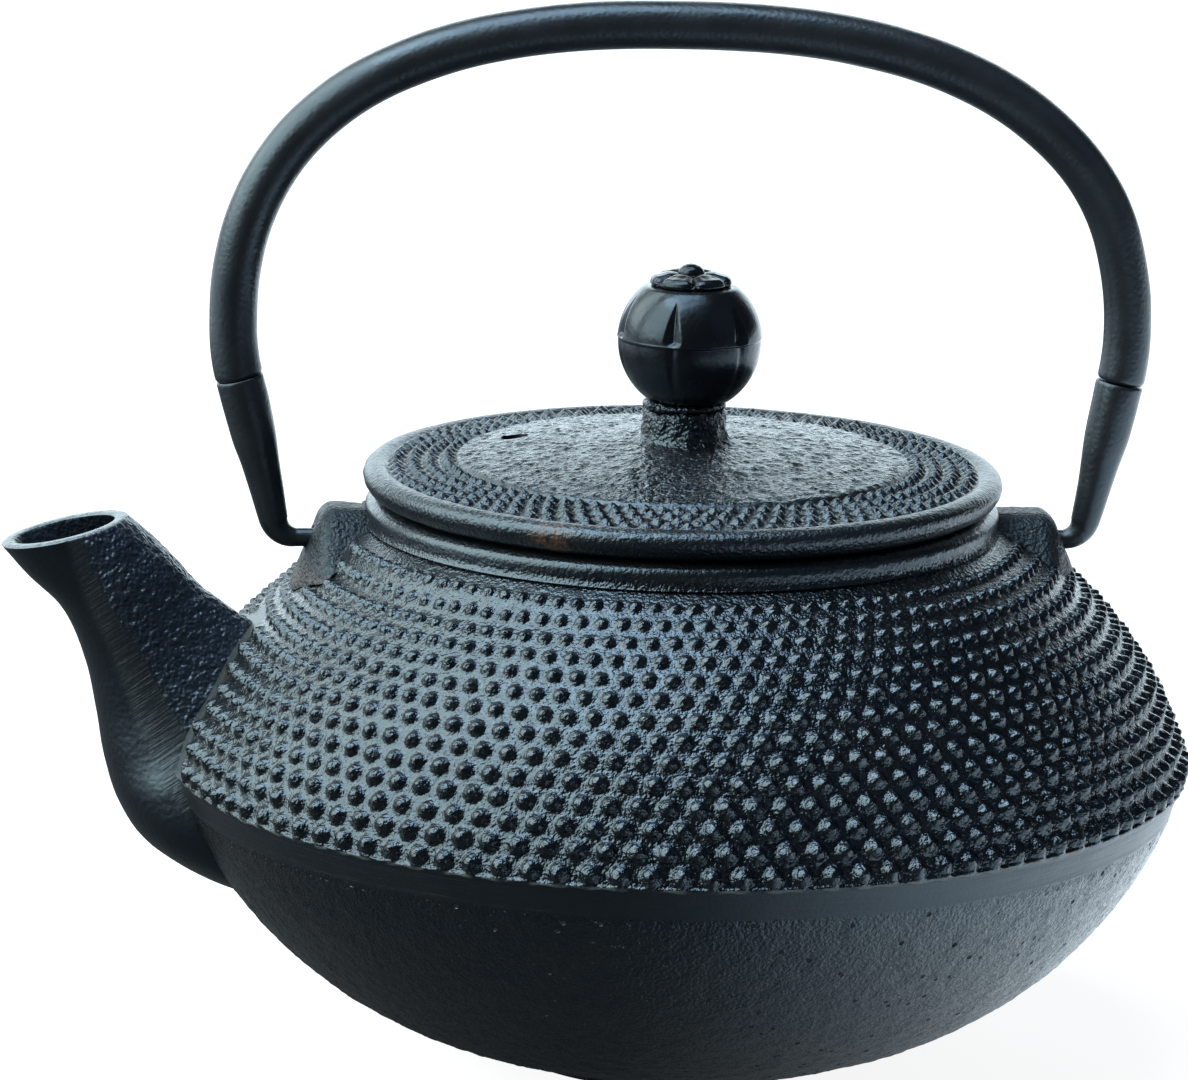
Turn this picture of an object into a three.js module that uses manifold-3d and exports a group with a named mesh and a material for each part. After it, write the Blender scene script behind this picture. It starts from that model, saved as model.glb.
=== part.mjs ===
// Cast iron teapot: hobnail kettle body with spout and two lugs, lid with a screwed-on ball knob,
// swinging bail handle and a stainless steel tea infuser.
// Millimetres, +Z up. The origin is the centre of the flat base; the spout points along -X.
import * as THREE from "three";
import { mergeVertices } from "three/addons/utils/BufferGeometryUtils.js";
import Module from "manifold-3d";

const wasm = await Module();
wasm.setup();

// Driving dimensions

const GAP = 0.3; // clearance between faces that touch
const ROUND = 44; // facets round the kettle

// Kettle body: two arcs in the r-z plane meet at the shoulder
const BASE_R = 24;
const BASE_EDGE = 0.9;
const BOWL = { r: 16.6, z: 58.2, radius: 56.9 }; // centre and radius of the lower arc
const DOME = { r: 18.2, z: 26.0, radius: 55.1 }; // centre and radius of the upper arc
const SHOULDER_Z = 41.8;
const KETTLE_WALL = 3;
const NECK_R = 43.9;
const NECK_TOP = 78.3;
const NECK_EDGE = 0.6;
const MOUTH_R = 39;
const THROAT_R = 35;
const LEDGE_TOP = 72.3; // the infuser hangs on this ledge
const LEDGE_THICK = 2;
const PORT = { z: 42, halfHeight: 8, halfWidth: 6.5 }; // hole from the kettle into the spout

// Spout: each section runs from a front point to a rear point, with a half-width across
const SPOUT_SECTIONS = [
  { front: [-94.0, 71.3], rear: [-76.6, 75.4], half: 8.0 },
  { front: [-90.4, 67.2], rear: [-73.4, 72.4], half: 8.0 },
  { front: [-86.4, 63.4], rear: [-70.0, 69.1], half: 8.0 },
  { front: [-84.1, 59.5], rear: [-66.6, 65.9], half: 7.9 },
  { front: [-82.4, 54.0], rear: [-62.0, 62.5], half: 7.7 },
  { front: [-81.2, 47.8], rear: [-56.0, 58.5], half: 7.8 },
  { front: [-80.1, 41.3], rear: [-51.5, 54.5], half: 9.8 },
  { front: [-78.2, 35.0], rear: [-49.0, 49.5], half: 14.0 },
  { front: [-74.4, 29.5], rear: [-48.0, 43.0], half: 15.4 },
  { front: [-67.5, 24.4], rear: [-48.0, 36.0], half: 14.2 },
  { front: [-60.0, 22.0], rear: [-48.0, 31.0], half: 11.5 },
];
const SPOUT_EGG = 0.12; // how much narrower each section is at its rear end
const SPOUT_STEPS = 16;
const SPOUT_ROUND = 20;
const SPOUT_WALL_AT_MOUTH = 1.9;
const SPOUT_WALL_AT_ROOT = 3;

// Handle lugs
const LUG_WIDTH = 12;
const LUG_TOP = 76.2;
const LUG_FACE = { top: [50.2, 75.2], bottom: [54.2, 66] }; // the sloping outer face, as x and z
const LUG_EDGE = 0.7;
const PIVOT_Z = 72.4;
const PIN_R = 1.3;
const PIN_HOLE_R = 1.6;
const PIN_END_X = 47.2;

// Lid
const LID_BOTTOM = NECK_TOP + GAP;
const LID_R = 44.3;
const SKIRT_R = 38.4;
const SKIRT_WALL = 3.4;
const SKIRT_BOTTOM = 74;
const STUD_RING_INNER_R = 31.4; // the ring that carries the small studs
const STUD_RING_OUTER_R = 40.2;
const STUB_TOP = 91;
const STUB_R = 5.2;
const VENT = { x: -22.8, y: 11.2, r: 1.7 };
const LID_UNDERSIDE = 83.4; // flat seat for the washer

// Knob and its screw
const KNOB = { z: 100.3, radius: 9.95, topR: 6.3, bottomR: 5.8 };
const SCREW_R = 2;
const SCREW_BORE_R = SCREW_R + GAP;
const SCREW_TOP = 99;
const COLLAR = { r: 5.75, thick: 0.6 };
const ROSETTE = { r: 5.1, lobe: 0.4, petals: 6, thick: 1.2, stem: 4 };

// Bail handle: a superellipse arch on two short arcs, then straight tapered ends
const TUBE_R = 3.2;
const TUBE_BORE_R = 2.2;
const ARCH = { halfWidth: 61.9, height: 41.8, springZ: 102, power: 2.38 };
const HAUNCH_R = 32; // arc that turns each leg inwards below the widest point
const LEG_LEAN = THREE.MathUtils.degToRad(12.7);
const BEND_R = 3.2;
const SPIGOT = { r: 1.9, angle: 0.17 }; // plug that fits the tube's bore, measured round the haunch arc

// Infuser
const RIM = { outerR: 38.4, thick: 0.8 };
const BASKET_R = 31;
const SHEET = 0.5;
const BASKET_BOTTOM = 26;
const BASE_BAND = { height: 3.5, thick: 0.6 };

// Geometry helpers

// Keeps the positions only, merges shared vertices and drops triangles that have no area.
function weld(geometry) {
  const bare = new THREE.BufferGeometry();
  bare.setAttribute("position", geometry.getAttribute("position"));
  bare.setIndex(geometry.getIndex());
  const merged = mergeVertices(bare);
  const index = merged.getIndex().array;
  const kept = [];
  for (let i = 0; i < index.length; i += 3) {
    const [a, b, c] = index.slice(i, i + 3);
    if (a !== b && b !== c && c !== a) {
      kept.push(a, b, c);
    }
  }
  merged.setIndex(kept);
  return merged;
}

function toSolid(geometry) {
  const welded = weld(geometry);
  const mesh = new wasm.Mesh({
    numProp: 3,
    vertProperties: new Float32Array(welded.getAttribute("position").array),
    triVerts: new Uint32Array(welded.getIndex().array),
  });
  return new wasm.Manifold(mesh);
}

function toGeometry(solid) {
  const mesh = solid.getMesh();
  const geometry = new THREE.BufferGeometry();
  geometry.setAttribute("position", new THREE.BufferAttribute(mesh.vertProperties, 3));
  geometry.setIndex(new THREE.BufferAttribute(mesh.triVerts, 1));
  return geometry;
}

// Takes the later geometries away from the first.
function cut(geometry, ...tools) {
  let solid = toSolid(geometry);
  for (const tool of tools) {
    solid = solid.subtract(toSolid(tool));
  }
  return toGeometry(solid);
}

// Revolves [r, z] points about Z. The outline runs up the outside and down the inside.
function turned(outline, segments = ROUND) {
  const points = outline.map(([r, z]) => new THREE.Vector2(r, z));
  return weld(new THREE.LatheGeometry(points, segments).rotateX(Math.PI / 2));
}

// A ring such as a washer: a rectangle revolved about Z.
function turnedRing(innerR, outerR, bottom, top, segments = ROUND) {
  const corners = [
    [innerR, bottom],
    [outerR, bottom],
    [outerR, top],
    [innerR, top],
    [innerR, bottom],
  ];
  return turned(corners, segments);
}

// Points on an arc in the r-z plane between two angles in radians.
function arc(centre, radius, from, to, steps) {
  const points = [];
  for (let i = 0; i <= steps; i += 1) {
    const angle = from + ((to - from) * i) / steps;
    points.push([centre.r + radius * Math.cos(angle), centre.z + radius * Math.sin(angle)]);
  }
  return points;
}

// The angle at which an arc reaches a height, on the side away from the axis.
function angleAtHeight(centre, radius, z) {
  return Math.asin((z - centre.z) / radius);
}

// An ellipse of points in the plane that holds Y and the in-plane direction, narrowed towards its
// far end by the egg factor.
function ellipseRing(centre, direction, halfInPlane, halfAcross, count, egg = 0) {
  const ring = [];
  for (let i = 0; i < count; i += 1) {
    const angle = (2 * Math.PI * i) / count;
    const point = centre.clone().addScaledVector(direction, halfInPlane * Math.cos(angle));
    point.y += halfAcross * Math.sin(angle) * (1 - egg * Math.cos(angle));
    ring.push(point);
  }
  return ring;
}

// A closed skin over rings of equal size, the top ring first, with a flat cap at each end.
function lofted(rings) {
  const count = rings[0].length;
  const positions = rings.flat().flatMap((point) => point.toArray());
  const triangles = [];
  for (let row = 0; row < rings.length - 1; row += 1) {
    for (let i = 0; i < count; i += 1) {
      const a = row * count + i;
      const b = row * count + ((i + 1) % count);
      triangles.push(a, b + count, b, a, a + count, b + count);
    }
  }
  const lastRow = (rings.length - 1) * count;
  for (let i = 1; i < count - 1; i += 1) {
    triangles.push(0, i, i + 1);
    triangles.push(lastRow, lastRow + i + 1, lastRow + i);
  }
  const geometry = new THREE.BufferGeometry();
  geometry.setAttribute("position", new THREE.Float32BufferAttribute(positions, 3));
  geometry.setIndex(triangles);
  return geometry;
}

// An upright cylinder, for cutting holes.
function post(x, y, radius, bottom, top, segments = 24) {
  const cylinder = new THREE.CylinderGeometry(radius, radius, top - bottom, segments);
  return cylinder.rotateX(Math.PI / 2).translate(x, y, (bottom + top) / 2);
}

// Kettle body

const DOME_START = angleAtHeight(DOME, DOME.radius, SHOULDER_Z);
const DOME_END = Math.acos((NECK_R - DOME.r) / DOME.radius);
const NECK_FOOT = DOME.z + DOME.radius * Math.sin(DOME_END);

// The outside of the kettle from the base to the top of the neck, grown outwards by an offset.
function kettleOutside(offset) {
  const bowlStart = -Math.acos((BASE_R + 3 - BOWL.r) / BOWL.radius);
  const bowlEnd = angleAtHeight(BOWL, BOWL.radius, SHOULDER_Z - 2);
  return [
    [0, -offset],
    [BASE_R + offset, -offset],
    [BASE_R + BASE_EDGE + offset, BASE_EDGE],
    ...arc(BOWL, BOWL.radius + offset, bowlStart, bowlEnd, 6),
    ...arc(DOME, DOME.radius + offset, DOME_START, DOME_END, 6),
    [NECK_R + offset, NECK_FOOT + 0.4],
    [NECK_R + offset, NECK_TOP - NECK_EDGE],
    [NECK_R - NECK_EDGE + offset, NECK_TOP + offset],
  ];
}

function kettleInside() {
  const ledgeBottom = LEDGE_TOP - LEDGE_THICK;
  const domeInner = DOME.radius - KETTLE_WALL;
  const bowlInner = BOWL.radius - KETTLE_WALL;
  const domeTop = angleAtHeight(DOME, domeInner, ledgeBottom);
  const domeBottom = angleAtHeight(DOME, domeInner, SHOULDER_Z);
  const bowlTop = angleAtHeight(BOWL, bowlInner, SHOULDER_Z - 2);
  return [
    [MOUTH_R + NECK_EDGE, NECK_TOP],
    [MOUTH_R, NECK_TOP - NECK_EDGE],
    [MOUTH_R, LEDGE_TOP],
    [THROAT_R, LEDGE_TOP],
    [THROAT_R, ledgeBottom],
    ...arc(DOME, domeInner, domeTop, domeBottom, 4),
    ...arc(BOWL, bowlInner, bowlTop, -Math.PI / 2, 5),
    [0, BOWL.z - bowlInner],
  ];
}

function kettlePort() {
  const tube = new THREE.CylinderGeometry(1, 1, 30, 28).rotateZ(Math.PI / 2);
  return tube.scale(1, PORT.halfWidth, PORT.halfHeight).translate(-62, 0, PORT.z);
}

// The space that the kettle fills, with a gap round it: spout and lugs end on it.
function kettleEnvelope() {
  return turned([...kettleOutside(GAP), [0, NECK_TOP + GAP]]);
}

// The blind hole for a handle pin passes through the lug and a little way into the kettle.
function pinHole(side) {
  const depth = 16;
  const hole = new THREE.CylinderGeometry(PIN_HOLE_R, PIN_HOLE_R, depth, 20).rotateZ(Math.PI / 2);
  return hole.translate(side * (PIN_END_X - GAP + depth / 2), 0, PIVOT_Z);
}

const kettleShell = turned([...kettleOutside(0), ...kettleInside()]);
const kettleBody = cut(kettleShell, kettlePort(), pinHole(-1), pinHole(1));

// Spout

const frontEdge = new THREE.CatmullRomCurve3(
  SPOUT_SECTIONS.map(({ front, half }) => new THREE.Vector3(front[0], half, front[1])),
);
const rearEdge = new THREE.CatmullRomCurve3(
  SPOUT_SECTIONS.map(({ rear, half }) => new THREE.Vector3(rear[0], half, rear[1])),
);

// One ring of the spout at t along it, from the mouth at 0 to the root at 1.
function spoutRing(t, inset) {
  const front = frontEdge.getPoint(t);
  const rear = rearEdge.getPoint(t);
  const half = front.y;
  front.setY(0);
  rear.setY(0);
  const across = rear.clone().sub(front);
  const centre = front.clone().addScaledVector(across, 0.5);
  const halfInPlane = across.length() / 2 - inset;
  return ellipseRing(centre, across.normalize(), halfInPlane, half - inset, SPOUT_ROUND, SPOUT_EGG);
}

function spoutSkin(isPassage) {
  const rings = [];
  for (let i = 0; i <= SPOUT_STEPS; i += 1) {
    const t = i / SPOUT_STEPS;
    const wall = THREE.MathUtils.lerp(SPOUT_WALL_AT_MOUTH, SPOUT_WALL_AT_ROOT, t);
    rings.push(spoutRing(t, isPassage ? wall : 0));
  }
  if (isPassage) {
    const above = rings[0].map((point) => point.clone().add(new THREE.Vector3(-0.6, 0, 2.4)));
    rings.unshift(above);
  }
  return lofted(rings);
}

const spout = cut(spoutSkin(false), spoutSkin(true), kettleEnvelope());

// Lugs

function lugBlock(side) {
  const shape = new THREE.Shape();
  shape.moveTo(40, 58);
  shape.lineTo(56, 58);
  shape.lineTo(...LUG_FACE.bottom);
  shape.lineTo(...LUG_FACE.top);
  shape.quadraticCurveTo(LUG_FACE.top[0] - 0.4, LUG_TOP, LUG_FACE.top[0] - 1.8, LUG_TOP);
  shape.lineTo(40, LUG_TOP);
  const block = new THREE.ExtrudeGeometry(shape, {
    depth: LUG_WIDTH - 2 * LUG_EDGE,
    bevelEnabled: true,
    bevelThickness: LUG_EDGE,
    bevelSize: LUG_EDGE,
    bevelOffset: -LUG_EDGE,
    bevelSegments: 2,
    curveSegments: 4,
  });
  block.rotateX(Math.PI / 2).translate(0, LUG_WIDTH / 2 - LUG_EDGE, 0);
  return side > 0 ? block : block.rotateZ(Math.PI);
}

function lug(side) {
  return cut(lugBlock(side), kettleEnvelope(), pinHole(side));
}

// Lid

const lidOutline = [
  [SCREW_BORE_R, LID_UNDERSIDE],
  [9, LID_UNDERSIDE],
  [20, LID_UNDERSIDE - 1],
  [SKIRT_R - SKIRT_WALL - 1, 80],
  [SKIRT_R - SKIRT_WALL, 79],
  [SKIRT_R - SKIRT_WALL, SKIRT_BOTTOM],
  [SKIRT_R - 0.6, SKIRT_BOTTOM],
  [SKIRT_R, SKIRT_BOTTOM + 1],
  [SKIRT_R, LID_BOTTOM],
  [42.4, LID_BOTTOM],
  [43.6, 79.5],
  [LID_R, 81.2],
  [43.8, 82.6],
  [42.2, 83.2],
  [STUD_RING_OUTER_R, 82.3],
  [STUD_RING_INNER_R, 83.2],
  [STUD_RING_INNER_R - 0.4, 83.9],
  [18, 85.6],
  [7.4, 86.4],
  [6.2, 86.9],
  [5.5, 88.2],
  [STUB_R, 90],
  [STUB_R, STUB_TOP],
  [SCREW_BORE_R, STUB_TOP],
  [SCREW_BORE_R, LID_UNDERSIDE],
];

const lid = cut(turned(lidOutline), post(VENT.x, VENT.y, VENT.r, 78, 90));

// Knob

const knobTop = KNOB.z + Math.sqrt(KNOB.radius ** 2 - KNOB.topR ** 2);
const knobBottom = KNOB.z - Math.sqrt(KNOB.radius ** 2 - KNOB.bottomR ** 2);
const collarBottom = STUB_TOP + GAP;
const rosetteBottom = knobTop + GAP;

function knobBall() {
  const centre = { r: 0, z: KNOB.z };
  const from = -Math.acos(KNOB.bottomR / KNOB.radius);
  const to = Math.acos(KNOB.topR / KNOB.radius);
  const outline = [
    [0, SCREW_TOP + 1],
    [SCREW_BORE_R, SCREW_TOP + 1],
    [SCREW_BORE_R, knobBottom],
    ...arc(centre, KNOB.radius, from, to, 10),
    [SCREW_BORE_R, knobTop],
    [SCREW_BORE_R, knobTop - ROSETTE.stem - 0.5],
    [0, knobTop - ROSETTE.stem - 0.5],
  ];
  return turned(outline, 28);
}

const collar = turnedRing(SCREW_BORE_R, COLLAR.r, collarBottom, collarBottom + COLLAR.thick, 24);

// Six petals with a raised bead in the middle, on a stem that plugs the top of the ball.
function rosette() {
  const shape = new THREE.Shape();
  const points = 36;
  for (let i = 0; i < points; i += 1) {
    const angle = (2 * Math.PI * i) / points;
    const r = ROSETTE.r + ROSETTE.lobe * Math.cos(ROSETTE.petals * angle);
    const x = r * Math.cos(angle);
    const y = r * Math.sin(angle);
    if (i === 0) {
      shape.moveTo(x, y);
    } else {
      shape.lineTo(x, y);
    }
  }
  const bevel = 0.3;
  const petals = new THREE.ExtrudeGeometry(shape, {
    depth: ROSETTE.thick - 2 * bevel,
    bevelThickness: bevel,
    bevelSize: bevel,
    bevelOffset: -bevel,
    bevelSegments: 1,
  });
  petals.translate(0, 0, rosetteBottom + bevel);
  const top = rosetteBottom + ROSETTE.thick;
  const beadAndStem = turned(
    [
      [0, knobTop - ROSETTE.stem],
      [SCREW_R, knobTop - ROSETTE.stem],
      [SCREW_R, top - 0.4],
      [1.75, top + 0.5],
      [1.2, top + 1.1],
      [0, top + 1.4],
    ],
    24,
  );
  return toGeometry(toSolid(petals).add(toSolid(beadAndStem)));
}

const washerTop = LID_UNDERSIDE - GAP;
const washer = turnedRing(SCREW_BORE_R, 5, washerTop - 1, washerTop, 28);
const screwHeadTop = washerTop - 1 - GAP;
const screw = turned(
  [
    [0, screwHeadTop - 2.4],
    [3, screwHeadTop - 2.4],
    [4, screwHeadTop - 1.2],
    [4, screwHeadTop],
    [SCREW_R, screwHeadTop],
    [SCREW_R, SCREW_TOP - 0.6],
    [SCREW_R - 0.6, SCREW_TOP],
    [0, SCREW_TOP],
  ],
  24,
);

// Bail handle

// The centre line of the tube from one seam to the other, at y = 0.
class BailCurve extends THREE.Curve {
  getPoint(t, target = new THREE.Vector3()) {
    const haunchShare = 0.04;
    const side = t < 0.5 ? -1 : 1;
    const s = t < 0.5 ? t : 1 - t;
    if (s < haunchShare) {
      const angle = LEG_LEAN * (1 - s / haunchShare);
      return haunchPoint(side, angle, target);
    }
    const angle = ((s - haunchShare) / (0.5 - haunchShare)) * (Math.PI / 2);
    const across = Math.cos(angle) ** (2 / ARCH.power);
    const up = Math.sin(angle) ** (2 / ARCH.power);
    return target.set(side * ARCH.halfWidth * across, 0, ARCH.springZ + ARCH.height * up);
  }
}

// A point on the arc below the widest point, turned inwards by an angle.
function haunchPoint(side, angle, target = new THREE.Vector3()) {
  const x = ARCH.halfWidth - HAUNCH_R * (1 - Math.cos(angle));
  return target.set(side * x, 0, ARCH.springZ - HAUNCH_R * Math.sin(angle));
}

function handleArch() {
  const section = new THREE.Shape();
  section.absarc(0, 0, TUBE_R, 0, 2 * Math.PI);
  const bore = new THREE.Path();
  bore.absarc(0, 0, TUBE_BORE_R, 0, 2 * Math.PI, true);
  section.holes.push(bore);
  return weld(
    new THREE.ExtrudeGeometry(section, {
      steps: 36,
      curveSegments: 6,
      extrudePath: new BailCurve(),
    }),
  );
}

// One end of the bail: spigot, tapered leg, bend and pin, as a round bar of changing radius.
function handleEnd(side) {
  const seam = haunchPoint(1, LEG_LEAN);
  const down = new THREE.Vector3(-Math.sin(LEG_LEAN), 0, -Math.cos(LEG_LEAN));
  const start = seam.clone().addScaledVector(down, GAP);
  const bendTopZ = PIVOT_Z + BEND_R * (1 - Math.sin(LEG_LEAN));
  const legLength = (start.z - bendTopZ) / Math.cos(LEG_LEAN);
  const stations = [];
  for (const angle of [LEG_LEAN - SPIGOT.angle, LEG_LEAN - SPIGOT.angle / 2, LEG_LEAN]) {
    stations.push({ point: haunchPoint(1, angle), turn: angle, radius: SPIGOT.r });
  }
  stations.push({ point: start, turn: LEG_LEAN, radius: SPIGOT.r });
  const taper = [
    [0, TUBE_R],
    [0.35, TUBE_R - 0.1],
    [0.55, 2.85],
    [0.75, 2.4],
    [1, 2.0],
  ];
  for (const [share, radius] of taper) {
    const point = start.clone().addScaledVector(down, share * legLength);
    stations.push({ point, turn: LEG_LEAN, radius });
  }
  const bendCentre = start.clone().addScaledVector(down, legLength);
  bendCentre.x -= BEND_R * Math.cos(LEG_LEAN);
  bendCentre.z += BEND_R * Math.sin(LEG_LEAN);
  for (let i = 1; i <= 5; i += 1) {
    const turn = LEG_LEAN + ((Math.PI / 2 - LEG_LEAN) * i) / 5;
    const x = bendCentre.x + BEND_R * Math.cos(turn);
    const z = bendCentre.z - BEND_R * Math.sin(turn);
    const radius = THREE.MathUtils.lerp(2.0, PIN_R, i / 5);
    stations.push({ point: new THREE.Vector3(x, 0, z), turn, radius });
  }
  stations.push({ point: new THREE.Vector3(PIN_END_X, 0, PIVOT_Z), turn: Math.PI / 2, radius: PIN_R });
  const rings = stations.map(({ point, turn, radius }) => {
    const outwards = new THREE.Vector3(Math.cos(turn), 0, -Math.sin(turn));
    return ellipseRing(point, outwards, radius, radius, 14);
  });
  const bar = lofted(rings);
  return side > 0 ? bar : bar.rotateZ(Math.PI);
}

// Infuser

const rimBottom = LEDGE_TOP + GAP;
const rim = turnedRing(BASKET_R + GAP, RIM.outerR, rimBottom, rimBottom + RIM.thick, 36);
const wall = turnedRing(BASKET_R - SHEET, BASKET_R, BASKET_BOTTOM + 1, rimBottom + RIM.thick, 36);

// A shallow channel that holds the base sheet and the foot of the wall.
function baseBand() {
  const outerR = BASKET_R + GAP + BASE_BAND.thick;
  const shelfTop = BASKET_BOTTOM + 1 - GAP;
  const shelfBottom = shelfTop - BASE_BAND.thick;
  return turned(
    [
      [BASKET_R - 3, shelfBottom],
      [outerR, shelfBottom],
      [outerR, shelfBottom + BASE_BAND.height],
      [BASKET_R + GAP, shelfBottom + BASE_BAND.height],
      [BASKET_R + GAP, shelfTop],
      [BASKET_R - 3, shelfTop],
      [BASKET_R - 3, shelfBottom],
    ],
    36,
  );
}

const baseSheet = turned(
  [
    [0, BASKET_BOTTOM + 1],
    [BASKET_R - SHEET - GAP, BASKET_BOTTOM + 1],
    [BASKET_R - SHEET - GAP, BASKET_BOTTOM + 1 + SHEET],
    [0, BASKET_BOTTOM + 1 + SHEET],
  ],
  36,
);

// Materials and assembly

const LOOKS = {
  castIron: { color: 0x17191c, roughness: 0.6, metalness: 0.4 },
  satinTube: { color: 0x101114, roughness: 0.45, metalness: 0.3 },
  glossKnob: { color: 0x0b0c0e, roughness: 0.2, metalness: 0.1 },
  steel: { color: 0xb8babc, roughness: 0.35, metalness: 0.9 },
};

const teapot = new THREE.Group();

function add(name, geometry, look) {
  const mesh = new THREE.Mesh(geometry, new THREE.MeshStandardMaterial(LOOKS[look]));
  mesh.name = name;
  teapot.add(mesh);
}

add("kettle_body", kettleBody, "castIron");
add("spout", spout, "castIron");
add("lug_front", lug(-1), "castIron");
add("lug_rear", lug(1), "castIron");
add("lid", lid, "castIron");
add("knob_collar", collar, "satinTube");
add("knob", knobBall(), "glossKnob");
add("knob_rosette", rosette(), "glossKnob");
add("knob_screw", screw, "steel");
add("knob_washer", washer, "steel");
add("handle_arch", handleArch(), "satinTube");
add("handle_end_front", handleEnd(-1), "satinTube");
add("handle_end_rear", handleEnd(1), "satinTube");
add("infuser_rim", rim, "steel");
add("infuser_wall", wall, "steel");
add("infuser_base_band", baseBand(), "steel");
add("infuser_base", baseSheet, "steel");

export default teapot;
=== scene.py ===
"""Cast iron teapot: the looks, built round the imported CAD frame.

Shapes are worked out in millimetres and turned into metres when a mesh is made. +Z is up, the spout
points along -X, and the handle swings about the X direction.
"""

import math
from types import SimpleNamespace

import bpy
import numpy as np
from mathutils import Matrix, Vector
from mathutils.kdtree import KDTree

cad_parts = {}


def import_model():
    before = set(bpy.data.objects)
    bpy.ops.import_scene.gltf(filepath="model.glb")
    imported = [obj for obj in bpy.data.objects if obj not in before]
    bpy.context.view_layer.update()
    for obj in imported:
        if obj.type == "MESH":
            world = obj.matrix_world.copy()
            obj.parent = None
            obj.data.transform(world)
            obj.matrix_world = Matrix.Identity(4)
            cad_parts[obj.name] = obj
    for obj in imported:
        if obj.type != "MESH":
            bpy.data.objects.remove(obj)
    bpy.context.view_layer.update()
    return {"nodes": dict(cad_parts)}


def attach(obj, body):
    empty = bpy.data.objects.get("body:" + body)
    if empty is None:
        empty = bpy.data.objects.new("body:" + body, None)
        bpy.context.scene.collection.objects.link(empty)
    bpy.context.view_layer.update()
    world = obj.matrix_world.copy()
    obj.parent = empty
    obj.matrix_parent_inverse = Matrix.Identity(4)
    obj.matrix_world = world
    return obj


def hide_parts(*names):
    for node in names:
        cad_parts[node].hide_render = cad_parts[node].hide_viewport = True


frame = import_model()

MM = 0.001
TAU = 2 * math.pi

# ---- sizes in millimetres

BASE_R = 24.0
BASE_EDGE = 0.9
BOWL = SimpleNamespace(r=16.6, z=58.2, radius=56.9)  # centre and radius of the lower shell's arc
DOME = SimpleNamespace(r=18.2, z=26.0, radius=55.1)  # the same for the upper shell
SHOULDER_R = 71.0
SHOULDER_Z = 41.8
BAND_BOTTOM = 37.6  # the ground band under the studs
WALL = 3.0
NECK_R = 43.9
NECK_TOP = 78.3
MOUTH_R = 39.0
THROAT_R = 35.0
LEDGE_TOP = 72.3
LEDGE_BOTTOM = 70.3
PORT = SimpleNamespace(z=42.0, half_height=8.0, half_width=6.5)

STUDS = SimpleNamespace(
    around=112,
    rows=14,
    first=math.radians(18.4),  # angle of the lowest row on the dome's arc
    step=math.radians(3.11),
    phase=math.radians(-91.39),
    radius=(1.42, 0.95),  # lowest row, top row
    height=(1.25, 0.78),
)
LID_STUDS = SimpleNamespace(
    around=90,
    rows=4,
    first=32.6,  # radius of the inmost row
    step=2.4,
    phase=0.0,
    radius=(1.08, 1.25),  # inmost row, outmost row
    height=1.0,
)
CLEAR_STRIP = 2.9  # width of the plain strip round the spout's root

PIVOT_Z = 72.4
PIN_R = 1.3
LUG = SimpleNamespace(
    half_width=6.0,
    root_r=41.0,
    root_z=60.0,
    top=76.3,
    face_top=(50.2, 75.3),
    face_bottom=(54.2, 66.0),
    flat=1.4,  # half of the level part of its top
    round=4.2,
    slope=math.radians(48),  # of its sides
    flare=8.0,
    rear_out=1.7,  # the rear lug stands further out
    rise=(0.9, 0.3),  # of the front and the rear lug's top edge
)

LID_BOTTOM = 78.6
LID_UNDERSIDE = 83.4
SKIRT_R = 38.4
SKIRT_WALL = 3.4
SKIRT_BOTTOM = 74.0
DISC_R = 31.2
RIM_R = 40.8
STUB_R = 7.0
VENT = SimpleNamespace(x=-22.8, y=9.4, r=1.9)
STUB_TOP = 91.0
BORE_R = 2.3

KNOB = SimpleNamespace(x=0.55, z=100.3, radius=9.95, top_r=6.3, bottom_r=5.8, seam_z=100.9)
KNOB_TOP = KNOB.z + math.sqrt(KNOB.radius**2 - KNOB.top_r**2)
KNOB_BOTTOM = KNOB.z - math.sqrt(KNOB.radius**2 - KNOB.bottom_r**2)
GROOVES = SimpleNamespace(count=6, first=math.radians(-109.5), top=106.8, bottom=100.8, half_width=1.35)
PETALS = SimpleNamespace(count=6, first=math.radians(-120), r=5.65, z=KNOB_TOP + 0.12)

TUBE_R = 3.3
TUBE_BORE_R = 2.2
TUBE_COLUMNS = 56
ARCH = SimpleNamespace(half_width=61.9, height=42.0, spring_z=102.0, power=2.37, left_power=2.44)
ARCH_TILT = 0.012
HAUNCH_R = 32.0
LEG_LEAN = math.radians(12.7)
BEND_R = 3.2
SPIGOT_R = 1.9
PIN_END = 48.4

BASKET_R = 31.0
BASKET_BOTTOM = 26.0
BASKET_TOP = 72.9


# ---- noise and small maths


def smooth(low, high, x):
    t = np.clip((x - low) / (high - low), 0, 1)
    return t * t * (3 - 2 * t)


def between(pair, share):
    return pair[0] + (pair[1] - pair[0]) * share


def lattice(cells, seed):
    """A repeatable value from -1 to 1 for each whole-number cell."""
    keys = cells.astype(np.int64).astype(np.uint32)
    mixed = keys[..., 0] * np.uint32(374761393) + keys[..., 1] * np.uint32(668265263)
    mixed = mixed + keys[..., 2] * np.uint32(2246822519) + np.uint32(seed * 974711)
    mixed = (mixed ^ (mixed >> 13)) * np.uint32(1274126177)
    mixed = mixed ^ (mixed >> 16)
    return mixed.astype(float) / 2**31 - 1


def noise(points, size, seed):
    """Smooth value noise from -1 to 1, with cells of one size."""
    scaled = points / size
    cell = np.floor(scaled)
    part = scaled - cell
    part = part**3 * (part * (part * 6 - 15) + 10)
    total = np.zeros(len(points))
    for corner in np.ndindex(2, 2, 2):
        weight = np.prod(np.where(corner, part, 1 - part), axis=1)
        total += weight * lattice(cell + corner, seed)
    return total


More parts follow.
